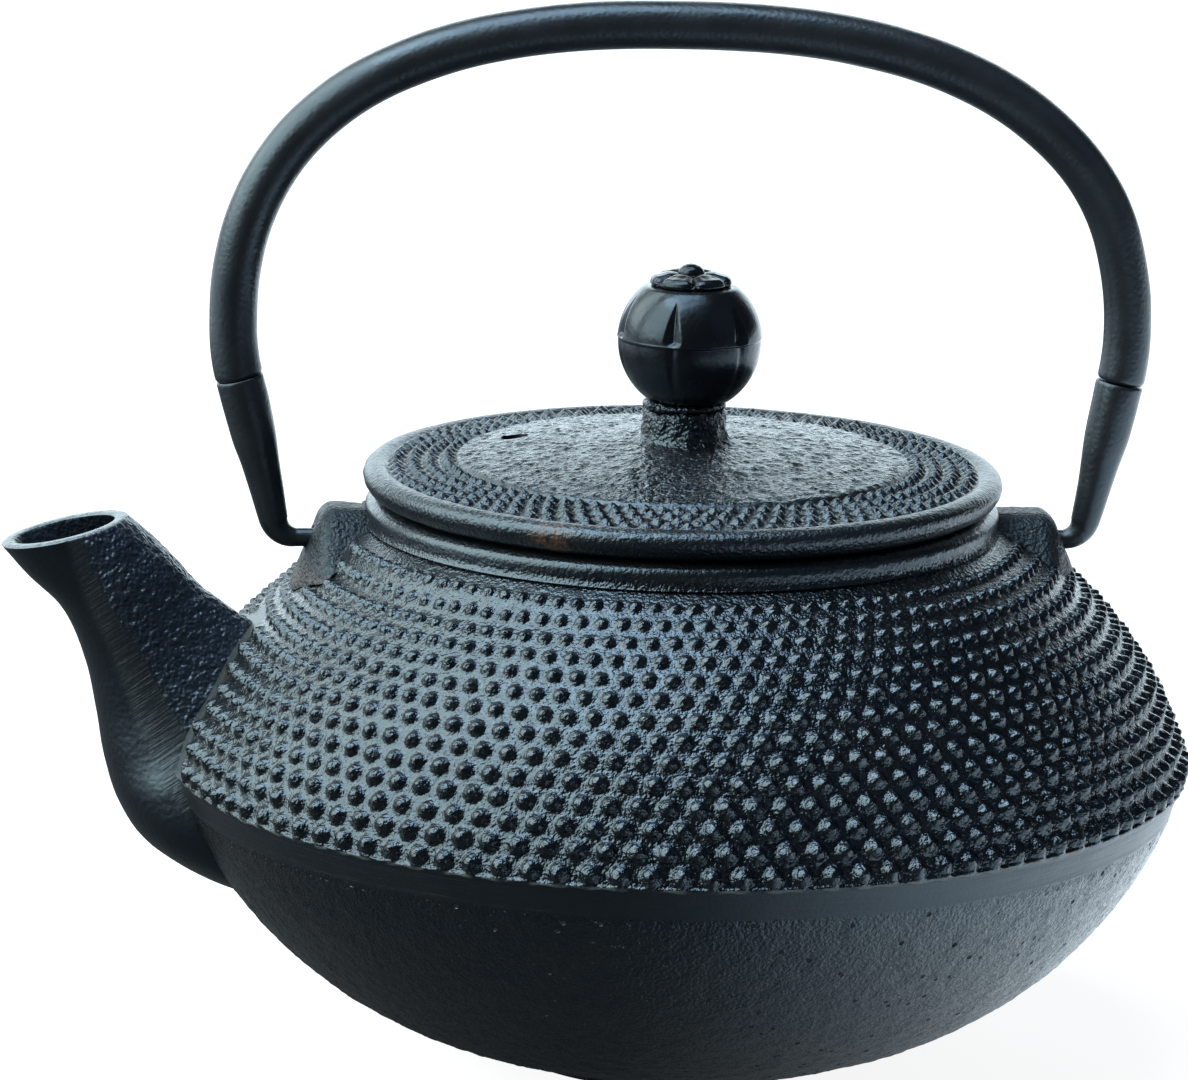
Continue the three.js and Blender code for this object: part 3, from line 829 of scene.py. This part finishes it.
def spout_zones(points):
    """How much a point belongs to the rough rear, and to the brushed strip in front of it."""
    x, _, z = points.T
    border = np.interp(z, [47.0, 50.0, 58.0, 65.0, 73.0], [-68.5, -70.5, -75.0, -79.3, -82.7])
    border = np.where(z < 47.0, -60.0, border)
    front = np.interp(z, [36.0, 47.0, 58.0, 65.0, 73.0], [-69.0, -75.0, -79.0, -82.3, -84.9])
    cast = smooth(-0.35, 0.35, x - border)
    brushed = (1 - cast) * smooth(-0.9, 0.9, x - front) * smooth(33.0, 41.0, z)
    return cast, brushed


def spout():
    """A cast skin, a ground rim with rounded edges, and the passage back down to the root."""
    outer_t = np.linspace(1, 0, SPOUT_STEPS)
    skin, out = spout_rings(outer_t, 0 * outer_t)
    flat = skin.reshape(-1, 3)
    cast, brushed = spout_zones(flat)
    off_mouth = smooth(0.0, 0.05, np.repeat(outer_t, SPOUT_COLUMNS))
    grain = (0.12 + 0.12 * rough(flat, 1.1, 71)) * cast + 0.012 * rough(flat, 1.1, 73)
    grain = (grain + 0.05 * noise(flat, 5.0, 72)) * off_mouth
    skin = (flat + out.reshape(-1, 3) * grain[:, None]).reshape(skin.shape)
    walls = np.array([0.12, 0.35, 1.0, SPOUT_WALL[0] - 0.35, SPOUT_WALL[0] - 0.1])
    lift = np.array([0.10, 0.22, 0.24, 0.22, 0.10])
    rim = spout_rings(0 * walls, walls)[0] + lift[:, None, None] * np.array([-0.23, 0, 0.97])
    inner_t = np.linspace(0, 1, 120)
    passage = spout_rings(inner_t, between(SPOUT_WALL, inner_t))[0]
    rings = np.concatenate([skin, rim, passage])
    on_rim = np.zeros(rings.shape[:2])
    on_rim[len(skin) : len(skin) + len(rim)] = 1.0
    inner = np.zeros(len(on_rim.ravel()) - len(flat))
    attributes = {
        "rim": on_rim.ravel(),
        "cast": np.concatenate([cast, inner + 0.5]),
        "brushed": np.concatenate([brushed, inner]),
    }
    obj = loft("spout_casting", rings, closed=True, attributes=attributes)
    cut(obj, inside_of_wall())
    return obj


# ---- lugs


def rounded(corner, before, after, radius, count):
    """Points on a small arc that rounds a corner of a polygon."""
    corner, before, after = (np.array(p, float) for p in (corner, before, after))
    to_before = (before - corner) / np.linalg.norm(before - corner)
    to_after = (after - corner) / np.linalg.norm(after - corner)
    out = []
    for f in np.linspace(0, 1, count):
        a = corner + to_before * radius * (1 - f)
        b = corner + to_after * radius * f
        out.append(a * (1 - f) + b * f)
    return out


def lug(name, side):
    """A rough cast ridge with sloping sides, trimmed to the kettle's wall, with a blind pin hole."""
    out = LUG.rear_out if side > 0 else 0.0
    rise = LUG.rise[1] if side > 0 else LUG.rise[0]
    corners = [
        (LUG.root_r, LUG.root_z),
        (LUG.face_bottom[0] + 2.6 + out, LUG.root_z),
        (LUG.face_bottom[0] + out, LUG.face_bottom[1]),
        (LUG.face_top[0] + out, LUG.face_top[1] + rise),
        (LUG.face_top[0] - 1.3 + out, LUG.top + rise),
        (LUG.root_r, LUG.top + 0.3),
    ]
    outline = []
    for i, corner in enumerate(corners):
        after = corners[(i + 1) % len(corners)]
        outline += rounded(corner, corners[i - 1], after, 0.8 if i in (3, 4) else 0.3, 6)
    ring = evenly(np.array(outline + outline[:1]), 221)[0][:-1]

    # each row across the lug repeats the outline, lowered more and more towards the sides
    half = [(y, 0.0) for y in np.linspace(0.0, LUG.flat, 8)]
    for turn in np.linspace(0, LUG.slope, 9)[1:]:
        half.append((LUG.flat + LUG.round * math.sin(turn), LUG.round * (1 - math.cos(turn))))
    last_y, last_drop = half[-1]
    for s in np.linspace(0, LUG.flare, 30)[1:]:
        half.append((last_y + s, last_drop + s * math.tan(LUG.slope)))
    rows = [(-y, drop) for y, drop in half[:0:-1]] + half
    x, z = ring.T
    stack = np.array([np.stack([x, np.full(len(x), y), z - drop], 1) for y, drop in rows])
    flat = stack.reshape(-1, 3)
    flat = flat + 0.09 * rough(flat, 1.2, 81 + side)[:, None] * np.array([0.7, 0.7, 0.5])
    flat[:, 0] *= side
    rust = 0.6 * (1 - smooth(0.0, 3.5, np.abs(flat[:, 2] - 67.0))) * (side < 0)
    attributes = {"pale": np.zeros(len(flat)), "rust": rust}
    block = loft(name, flat.reshape(stack.shape), attributes=attributes)
    hole = pillar((side * 54.0, 0, PIVOT_Z), (1, 0, 0), PIN_R + 0.35, 12.4, columns=40)
    cut(block, inside_of_wall(), hole)
    return block


# ---- lid


def lid_relief(grid):
    points, r, z = grid.points, grid.r, grid.z
    top = (z > LID_BOTTOM + 0.6) & (grid.tag == 0)
    in_ring = top & (r > DISC_R + 0.1) & (r < RIM_R)
    on_disc = top & (r < DISC_R) & (r > STUB_R)
    on_stub = top & (r <= STUB_R)
    on_rim = top & (r >= RIM_R) | ((z <= LID_BOTTOM + 0.6) & (r > 40) & (grid.tag == 0))

    row = np.clip(np.rint((r - LID_STUDS.first) / LID_STUDS.step), 0, LID_STUDS.rows - 1)
    across, scatter = nearest_stud(LID_STUDS, row, grid.theta, r)
    u = across + 0.05 * scatter(91)
    v = r - LID_STUDS.first - row * LID_STUDS.step
    t = np.hypot(u, v) / between(LID_STUDS.radius, row / (LID_STUDS.rows - 1))
    height = LID_STUDS.height * (1 + 0.12 * scatter(92))
    cone = height * np.clip(1 - t, 0, 1) * (1 + 0.5 * np.clip(t, 0, 1))
    waves = 0.09 * noise(points, 1.3, 93) + 0.13 * noise(points, 0.75, 94) + 0.10 * noise(points, 6.0, 95)
    offset = in_ring * (cone + 0.05 * noise(points, 0.9, 99)) + on_disc * waves
    offset += on_stub * 0.2 * rough(points, 1.3, 96)
    offset += on_rim * (0.02 * noise(points, 1.6, 97) + 0.05 * noise(points, 5.0, 98))

    patch = np.linalg.norm(points - np.array([-21.0, -39.0, 81.0]), axis=1)
    attributes = {
        "grain": np.select([on_disc, on_stub, in_ring, on_rim], [1.0, 1.0, 0.7, 0.45], 0.1),
        "pale": np.zeros(len(points)),
        "rust": on_rim * 0.8 * (1 - smooth(1.0, 4.5, patch)),
    }
    return offset, attributes


def lid():
    inner = SKIRT_R - SKIRT_WALL
    low = SKIRT_BOTTOM
    under = [(BORE_R, LID_UNDERSIDE), (9.0, LID_UNDERSIDE), (20.0, LID_UNDERSIDE - 1.0), (inner - 1, 80.0)]
    under += [(inner, 79.0), (inner, low + 0.4), (inner + 0.4, low), (SKIRT_R - 0.9, low)]
    under += [(SKIRT_R - 0.2, low + 0.3), (SKIRT_R, low + 1.0), (SKIRT_R, LID_BOTTOM)]
    rim = [(SKIRT_R + 0.4, LID_BOTTOM), (41.0, LID_BOTTOM), (42.6, 78.85), (43.5, 79.45), (44.1, 80.4)]
    rim += [(44.3, 81.3), (44.05, 82.05), (43.4, 82.6), (42.5, 82.85), (41.6, 82.75), (40.9, 82.4)]
    ring = [(40.6, 82.35), (40.2, 82.3), (31.9, 83.15), (31.5, 83.3)]
    disc = [(DISC_R, 83.7), (30.8, 83.95), (25.0, 84.8), (18.0, 85.6), (12.0, 86.05)]
    hub = [(11.8, 86.07), (7.6, 86.35), (6.6, 86.55), (6.1, 86.95), (5.9, 87.6), (5.75, 88.6)]
    hub += [(5.6, 90.4), (5.4, 90.85), (4.9, STUB_TOP)]
    bore = [(3.5, STUB_TOP), (BORE_R + 0.2, STUB_TOP), (BORE_R, STUB_TOP - 0.3)]
    bore.append((BORE_R, LID_UNDERSIDE + 0.6))
    stretches = [
        (line(under, 1.5), 270, LINING),
        (line(rim, 0.35), 540, OUTSIDE),
        (line(ring, 0.22), 1080, OUTSIDE),
        (line(disc, 0.3), 1080, OUTSIDE),
        (line(hub, 0.3), 270, OUTSIDE),
        (line(bore, 1.5), 270, LINING),
    ]
    body = revolve("lid_casting", stretches, lid_relief)
    cut(body, pillar((VENT.x, VENT.y, 84.0), (0, 0, 1), VENT.r, 14.0))
    return body


# ---- knob, rosette and collar

SHAPED, PLAIN = 0, 1  # tags of the knob's and the rosette's stretches: with a relief, without


def bell(x, width):
    return np.exp(-((x / width) ** 2))


def knob_relief(grid):
    pitch = TAU / GROOVES.count
    turn = grid.theta - GROOVES.first
    across = (turn - np.rint(turn / pitch) * pitch) * np.maximum(grid.r, 1.0)
    up = (grid.z - GROOVES.bottom) / (GROOVES.top - GROOVES.bottom)
    below = GROOVES.bottom - grid.z
    width = GROOVES.half_width * np.clip(1 - np.clip(up, 0, 1) ** 1.6, 0, 1)
    round_end = np.sqrt(np.clip(1 - np.clip(1.0 + below, 0, 1) ** 2, 0, 1))
    width = np.maximum(width * round_end, 1e-3)
    inside = np.clip(1 - np.abs(across) / width, 0, 1) * (up > 0) * (up < 1)
    shallow = smooth(GROOVES.bottom, GROOVES.bottom + 1.0, grid.z)
    groove = -0.75 * inside * np.clip(width / GROOVES.half_width, 0, 1) ** 0.5 * shallow
    faint = -0.3 * bell(across, 0.55) * (below > 0) * (1 - np.clip(below / 8.0, 0, 1))
    from_seam = grid.z - KNOB.seam_z
    seam = 0.12 * smooth(-0.1, 0.1, from_seam) - 0.06
    seam = seam + 0.10 * bell(from_seam, 0.12) * (np.cos(grid.theta) < 0.2)
    offset = groove + faint + seam + 0.025 * noise(grid.points, 3.0, 101)
    return offset * (grid.tag == SHAPED), {}


def knob():
    centre = SimpleNamespace(r=0.0, z=KNOB.z)
    start = 0.03 - math.acos(KNOB.bottom_r / KNOB.radius)
    end = math.acos(KNOB.top_r / KNOB.radius) - 0.03
    ball = arc(centre, KNOB.radius, start, end, 0.12)
    rim, flat_z = KNOB.top_r, KNOB_TOP + 0.08
    top = line([(rim - 0.15, KNOB_TOP + 0.02), (rim - 0.5, flat_z), (BORE_R, flat_z)], 0.4)
    socket = line([(BORE_R, KNOB_TOP - 4.5), (0, KNOB_TOP - 4.5)], 2.5)
    bore = line([(0, 100.0), (BORE_R, 100.0), (BORE_R, KNOB_BOTTOM)], 2.5)
    foot = line([(BORE_R + 0.3, KNOB_BOTTOM), (KNOB.bottom_r - 0.1, KNOB_BOTTOM)], 1.0)
    lower = [(bore, 96, PLAIN), (foot, 96, PLAIN), (ball, 384, SHAPED)]
    upper = [(top, 384, PLAIN), (socket, 96, PLAIN)]
    return revolve("knob_ball", lower + upper, knob_relief)


def rosette():
    """Six domed petals with creases between them, a bead in the middle and a stem below."""

    def relief(grid):
        flank = np.clip(grid.r / PETALS.r, 0, 1)
        lobe = np.abs(np.cos(PETALS.count * (grid.theta - PETALS.first) / 2))
        hollow = bell(flank - 0.7, 0.16) * smooth(0.55, 0.9, lobe)
        on_petal = (grid.tag == SHAPED) & (grid.r > 1.9)
        on_face = on_petal & (grid.z > PETALS.z + 0.18)
        offset = on_petal * -0.75 * (1 - lobe) ** 3 * smooth(0.3, 1.0, flank)
        return offset + on_face * (0.3 * lobe * np.sin(math.pi * flank) - 0.12 * hollow), {}

    r, z = PETALS.r, PETALS.z
    stem = line([(0, KNOB_TOP - 4.0), (2.0, KNOB_TOP - 4.0), (2.0, z - 0.1), (r - 0.5, z)], 0.8)
    skirt = line([(r - 0.2, z + 0.05), (r, z + 0.4), (r - 0.15, z + 0.95), (r - 0.6, z + 1.3)], 0.12)
    face = line([(r - 0.75, z + 1.33), (3.2, z + 1.6), (1.95, z + 1.45)], 0.15)
    bead = [(1.8, 1.5), (1.78, 1.9), (1.6, 2.3), (1.2, 2.65), (0.6, 2.9), (0, 3.0)]
    bead = line([(bead_r, z + up) for bead_r, up in bead], 0.12)
    stretches = [(stem, 96, PLAIN), (skirt, 384, SHAPED), (face, 384, SHAPED)]
    return revolve("rosette", stretches + [(bead, 96, PLAIN)], relief)


def collar():
    """A thin rough ring with a lump of casting flash at its front left."""

    def relief(grid):
        points = grid.points
        away = np.linalg.norm(points - np.array([-4.6, -3.4, 91.4]), axis=1)
        lump = 0.7 * (1 - smooth(0.3, 2.2, away)) * (0.6 + 0.9 * noise(points, 0.8, 112))
        offset = 0.10 * rough(points, 0.9, 111) + lump
        return offset * (grid.r > 4.0), {"grain": 1 + 0 * grid.r, "pale": 0 * grid.r, "rust": 0 * grid.r}

    outline = [(BORE_R, 91.05), (5.2, 91.05), (5.65, 91.2), (5.8, 91.5), (5.7, 91.8), (5.3, 92.0)]
    return revolve("knob_collar_ring", [(line(outline + [(BORE_R, 92.05)], 0.2), 240, 0)], relief)


# ---- handle


def haunch(angle):
    """The bend between the arch's widest point and the straight leg."""
    x = ARCH.half_width - HAUNCH_R * (1 - math.cos(angle))
    return np.array([x, ARCH.spring_z - HAUNCH_R * math.sin(angle)])


def lean_in(x, z):
    """The hand-bent arch isn't quite even: it stands a little to the spout's side."""
    share = smooth(PIVOT_Z + 4, ARCH.spring_z, z)
    shoulder = smooth(ARCH.spring_z + 4, ARCH.spring_z + 30, z)
    right = smooth(0, 40, x) * smooth(ARCH.spring_z, ARCH.spring_z + 12, z) * (1 - smooth(130, 138, z))
    return x - 0.42 * share + 0.15 * shoulder - 0.3 * right


def tube_rings(path, radii):
    """Round rings along a path in the plane y = 0."""
    tangent = np.gradient(path, axis=0)
    tangent /= np.linalg.norm(tangent, axis=1)[:, None]
    angle = np.arange(TUBE_COLUMNS) * TAU / TUBE_COLUMNS
    side = np.stack([-tangent[:, 1], tangent[:, 0]], 1)
    rings = np.zeros((len(path), TUBE_COLUMNS, 3))
    rings[..., 0] = path[:, :1] + radii[:, None] * np.cos(angle) * side[:, :1]
    rings[..., 2] = path[:, 1:] + radii[:, None] * np.cos(angle) * side[:, 1:]
    rings[..., 1] = radii[:, None] * np.sin(angle)
    return rings


def waver(rings, path, share, size, seed):
    """The rings with a radius that wanders by a share of itself."""
    flat = rings.reshape(-1, 3)
    middle = np.repeat(np.stack([path[:, 0], 0 * path[:, 0], path[:, 1]], 1), TUBE_COLUMNS, 0)
    flat = flat + (flat - middle) * (share * noise(flat, size, seed))[:, None]
    return flat.reshape(rings.shape)


def quarter_arch(power):
    """Points of a superellipse from the widest point to the top."""
    angles = np.linspace(0, math.pi / 2, 220)
    across = np.cos(angles) ** (2 / power)
    up = np.sin(angles) ** (2 / power)
    return np.stack([ARCH.half_width * across, ARCH.spring_z + ARCH.height * up], 1)


def handle_arch():
    """A bent tube, from the seam on the right leg over to the seam on the left one."""
    legs = np.array([haunch(a) for a in np.linspace(LEG_LEAN, 0, 24)[:-1]])
    right = np.vstack([legs, quarter_arch(ARCH.power)])
    left = np.vstack([legs, quarter_arch(ARCH.left_power)])[::-1][1:] * (-1, 1)
    path, distance = evenly(np.vstack([right, left]), 520)
    from_end = np.minimum(distance, distance[-1] - distance)
    path[:, 0] = lean_in(path[:, 0], path[:, 1])
    path[:, 1] -= ARCH_TILT * path[:, 0] * smooth(ARCH.spring_z + 10, ARCH.spring_z + 36, path[:, 1])
    radii = TUBE_R - 0.18 * (1 - smooth(0.0, 0.5, from_end))
    outer = waver(tube_rings(path, radii), path, 0.03 / TUBE_R, 6.0, 121)
    way_back = path[::-4]
    bore = tube_rings(way_back, np.full(len(way_back), TUBE_BORE_R))
    mirrored = (TUBE_COLUMNS // 2 - np.arange(TUBE_COLUMNS)) % TUBE_COLUMNS
    return loft("handle_arch_tube", np.concatenate([outer, bore[:, mirrored]]), closed=True)


def handle_end(name, side, gap):
    """Spigot, tapered leg, smooth bend and pin."""
    down = np.array([-math.sin(LEG_LEAN), -math.cos(LEG_LEAN)])
    start = haunch(LEG_LEAN) + down * gap
    bend_top = PIVOT_Z + BEND_R * (1 - math.sin(LEG_LEAN))
    length = (start[1] - bend_top) / math.cos(LEG_LEAN)
    steps = [(haunch(angle), SPIGOT_R) for angle in np.linspace(LEG_LEAN - 0.17, LEG_LEAN, 8)]
    steps.append((start - down * 0.02, SPIGOT_R))
    for distance, radius in [(0.0, 2.7), (0.02, TUBE_R - 0.15), (0.15, TUBE_R - 0.05), (0.4, TUBE_R)]:
        steps.append((start + down * distance, radius))
    shares = np.linspace(0.03, 1, 90)
    taper = through([[TUBE_R], [TUBE_R - 0.05], [TUBE_R - 0.22], [2.62], [2.3], [2.02]], shares)[:, 0]
    steps += [(start + down * share * length, radius) for share, radius in zip(shares, taper)]
    centre = start + down * length + BEND_R * np.array([-math.cos(LEG_LEAN), math.sin(LEG_LEAN)])
    for i in range(1, 21):
        turn = LEG_LEAN + (math.pi / 2 - LEG_LEAN) * i / 20
        place = centre + BEND_R * np.array([math.cos(turn), -math.sin(turn)])
        steps.append((place, 2.0 + (PIN_R - 2.0) * i / 20))
    steps += [(np.array([x, PIVOT_Z]), PIN_R) for x in np.linspace(centre[0], PIN_END, 14)[1:]]
    path = np.array([place for place, _ in steps])
    radii = np.array([radius for _, radius in steps])
    path[:, 0] = side * lean_in(side * path[:, 0], path[:, 1])
    rings = waver(tube_rings(path, radii), path, 0.02, 4.0, 131 + side)
    rings[..., 0] *= side
    return loft(name, rings)


# ---- infuser


def infuser_rim():
    outline = [(31.3, 72.65), (31.3, 73.3), (31.5, 73.45), (37.6, 73.45), (38.2, 73.3), (38.4, 73.0)]
    outline += [(38.2, 72.7), (37.7, 72.6), (31.5, 72.6)]
    return revolve("infuser_rim_ring", [(line(outline, 0.5)[::-1], 240, 0)])


def woven_wall():
    """Woven wire: upright wires and hoops that pass in front of and behind each other."""
    uprights, hoops, sides = 132, 30, 5
    wire_r = 0.16
    radius = BASKET_R - 0.25
    low, high = BASKET_BOTTOM + 1.2, BASKET_TOP
    section = np.arange(sides) * TAU / sides
    parts, faces = [], []

    def add_wire(r, theta, z, closed):
        """A wire from the coordinates of its rings."""
        first = sum(len(part) for part in parts)
        rings = len(r)
        parts.append(np.stack([r * np.cos(theta), r * np.sin(theta), z], 2).reshape(-1, 3))
        for k in range(rings if closed else rings - 1):
            faces.append(bridge(first + k * sides, sides, first + (k + 1) % rings * sides, sides))
        if not closed:
            faces.append(first + np.arange(sides)[None, ::-1])
            faces.append(first + (rings - 1) * sides + np.arange(sides)[None, :])

    z = np.linspace(low, high, hoops * 3)
    for i in range(uprights):
        wave = wire_r * np.cos(math.pi * (z - low) / (high - low) * hoops + math.pi * i)
        r = (radius + wave)[:, None] + wire_r * np.cos(section)
        theta = TAU * i / uprights + wire_r * np.sin(section) / radius
        add_wire(r, theta, np.repeat(z[:, None], sides, 1), False)
    around = np.arange(uprights * 3) * TAU / (uprights * 3)
    for j in range(hoops):
        height = low + (high - low) * (j + 0.5) / hoops
        wave = -wire_r * np.cos(around * uprights / 2 + math.pi * j)
        r = (radius + wave)[:, None] + wire_r * np.cos(section)
        z = np.repeat(height + wire_r * np.sin(section)[None, :], len(around), 0)
        add_wire(r, around[:, None], z, True)
    return make_object("infuser_woven_wall", np.concatenate(parts), faces)


# ---- stage, in metres


def camera():
    azimuth, elevation, roll = (math.radians(a) for a in (-5.5, 14.418, 1.351))
    target = Vector((0, 0, 0.045))
    distance = 0.8
    aim_right, aim_up = -0.015253, 0.032756  # the pot isn't quite in the middle of the view
    flat = math.cos(elevation)
    towards = Vector((flat * math.sin(azimuth), -flat * math.cos(azimuth), math.sin(elevation)))
    right = Vector((math.cos(azimuth), math.sin(azimuth), 0))
    up = right.cross(-towards)
    axis = (-towards + aim_right * right + aim_up * up).normalized()
    side = math.cos(roll) * right + math.sin(roll) * up
    side = (side - side.dot(axis) * axis).normalized()
    data = bpy.data.cameras.new("camera")
    data.lens = 173.0
    data.sensor_width = 36.0
    data.clip_end = 100
    obj = add_to_scene("camera", data)
    turn = Matrix((side, side.cross(axis), -axis)).transposed().to_4x4()
    obj.matrix_world = Matrix.Translation(target + towards * distance) @ turn
    bpy.context.scene.camera = obj


def floor():
    """White to the camera. To the pot it glows on the right and far left, dimmed under the pot by a painted
    shadow.
    """
    size = 8.0
    mesh = bpy.data.meshes.new("floor")
    corners = [(-size, -size, 0), (size, -size, 0), (size, size, 0), (-size, size, 0)]
    mesh.from_pydata(corners, [], [(0, 1, 2, 3)])
    material = bpy.data.materials.new("floor")
    material.use_nodes = True
    material.node_tree.nodes.clear()
    graph = Graph(material.node_tree)
    place = graph.node("TexCoord", {}).outputs["Object"]
    split = graph.node("SeparateXYZ", {0: place}).outputs
    reach = graph.node("VectorMath", {0: place}, operation="LENGTH").outputs["Value"]
    right = graph.ramp(split["X"], -0.02, 0.12, 0.16, 2.4)
    far_left = graph.ramp(split["X"], -0.55, -0.25, 1.7, 0.0)
    sides = graph.math("ADD", right, far_left)
    fade = graph.times(sides, graph.ramp(split["Y"], -0.4, -0.1, 0.1, 1.0))
    # painted shadow: the glow dims near the pot's axis in place of the pot's own shadow on the floor
    shade = graph.times(fade, graph.ramp(reach, 0.02, 0.075, 0.2, 1.0))
    lit = graph.node("Emission", {"Color": (0.8, 0.92, 1.0, 1), "Strength": shade}).outputs[0]
    white = graph.node("Emission", {"Strength": 0.9}).outputs[0]
    shadow = graph.node("BsdfDiffuse", {"Color": (0.25, 0.25, 0.25, 1)}).outputs[0]
    graph.show("Material", lit, graph.node("AddShader", {0: white, 1: shadow}).outputs[0])
    mesh.materials.append(material)
    add_to_scene("floor", mesh)


def softbox(name, place, target, size, power, colour):
    data = bpy.data.lights.new(name, "AREA")
    data.shape = "RECTANGLE"
    data.size, data.size_y = size
    data.energy = power
    data.color = colour
    obj = add_to_scene(name, data)
    obj.location = place
    obj.rotation_euler = (Vector(target) - Vector(place)).to_track_quat("-Z", "Y").to_euler()
    obj.visible_camera = False


def world():
    """A white backdrop behind the pot, a wide soft light on the left and a dim studio elsewhere."""
    studio_world = bpy.data.worlds.new("studio")
    bpy.context.scene.world = studio_world
    studio_world.use_nodes = True
    studio_world.node_tree.nodes.clear()
    graph = Graph(studio_world.node_tree)
    place = graph.node("TexCoord", {}).outputs["Generated"]

    def lobe(direction, low, high, to_low, to_high):
        """A value that changes with the angle from a direction."""
        inputs = {0: place, 1: Vector(direction).normalized()}
        along = graph.node("VectorMath", inputs, operation="DOT_PRODUCT").outputs["Value"]
        return graph.ramp(along, low, high, to_low, to_high)

    def glow(strength, colour):
        return graph.node("Background", {"Color": (*colour, 1), "Strength": strength}).outputs[0]

    up = (0, 0, 1)
    backdrop = graph.times(lobe((0, 1, 0), 0.66, 0.93, 0.0, 3.4), lobe(up, 0.35, 0.7, 1.0, 0.0))
    left = lobe((-0.84, -0.05, 0.54), 0.62, 0.9, 0.0, 6.2)
    left = graph.times(left, lobe(up, -0.05, 0.25, 0.0, 1.0))
    fill = lobe((0.76, -0.37, 0.42), 0.84, 0.97, 0.0, 0.14)
    studio = glow(backdrop, (0.78, 0.93, 1.0))
    for strength, colour in ((left, (0.88, 1.0, 0.96)), (fill, (0.5, 0.72, 1.0)), (0.045, (0.62, 0.8, 1.0))):
        studio = graph.node("AddShader", {0: studio, 1: glow(strength, colour)}).outputs[0]
    graph.show("World", studio, glow(1.0, (1.0, 1.0, 1.0)))


# ---- assembly


def dress(obj, body, node, slot, *materials):
    obj.data.materials.clear()
    for material in materials:
        obj.data.materials.append(material)
    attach(obj, body)
    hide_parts(node)


def repaint(node, material):
    obj = frame["nodes"][node]
    obj.data.materials.clear()
    obj.data.materials.append(material)
    obj.data.shade_smooth()
    obj.data.set_sharp_from_angle(angle=math.radians(35))


camera()
world()
floor()
softbox("top_box", (-0.15, -0.08, 0.95), (0, 0, 0.06), (0.55, 0.7), 8.9, (0.66, 0.84, 1.0))

outside, lining = iron_outside(), enamel_lining()
lid_look, lug_look, spout_look = lid_iron(), lug_iron(), spout_iron()
satin, gloss = satin_paint(), gloss_paint()
stainless, zinc = stainless_steel(), zinc_plate()

dress(kettle_body(), "kettle", "kettle_body", "cast_iron", outside, lining)
dress(spout(), "kettle", "spout", "cast_iron", spout_look)
dress(lug("lug_front_casting", -1), "kettle", "lug_front", "cast_iron", lug_look)
dress(lug("lug_rear_casting", 1), "kettle", "lug_rear", "cast_iron", lug_look)
dress(lid(), "lid", "lid", "cast_iron", lid_look, lining)
for piece, node in ((knob(), "knob"), (rosette(), "knob_rosette")):
    piece.data.transform(Matrix.Translation((KNOB.x * MM, 0, 0)))
    dress(piece, "lid", node, "knob_gloss", gloss, gloss)
dress(collar(), "lid", "knob_collar", "handle_paint", lid_look)
dress(handle_arch(), "handle", "handle_arch", "handle_paint", satin)
dress(handle_end("handle_leg_front", -1, 0.12), "handle", "handle_end_front", "handle_paint", satin)
dress(handle_end("handle_leg_rear", 1, 0.3), "handle", "handle_end_rear", "handle_paint", satin)
dress(infuser_rim(), "infuser", "infuser_rim", "stainless", stainless)
dress(woven_wall(), "infuser", "infuser_wall", "stainless", stainless)
for node in ("infuser_base_band", "infuser_base"):
    repaint(node, stainless)
for node in ("knob_screw", "knob_washer"):
    repaint(node, zinc)

bpy.context.scene.view_settings.view_transform = "Standard"
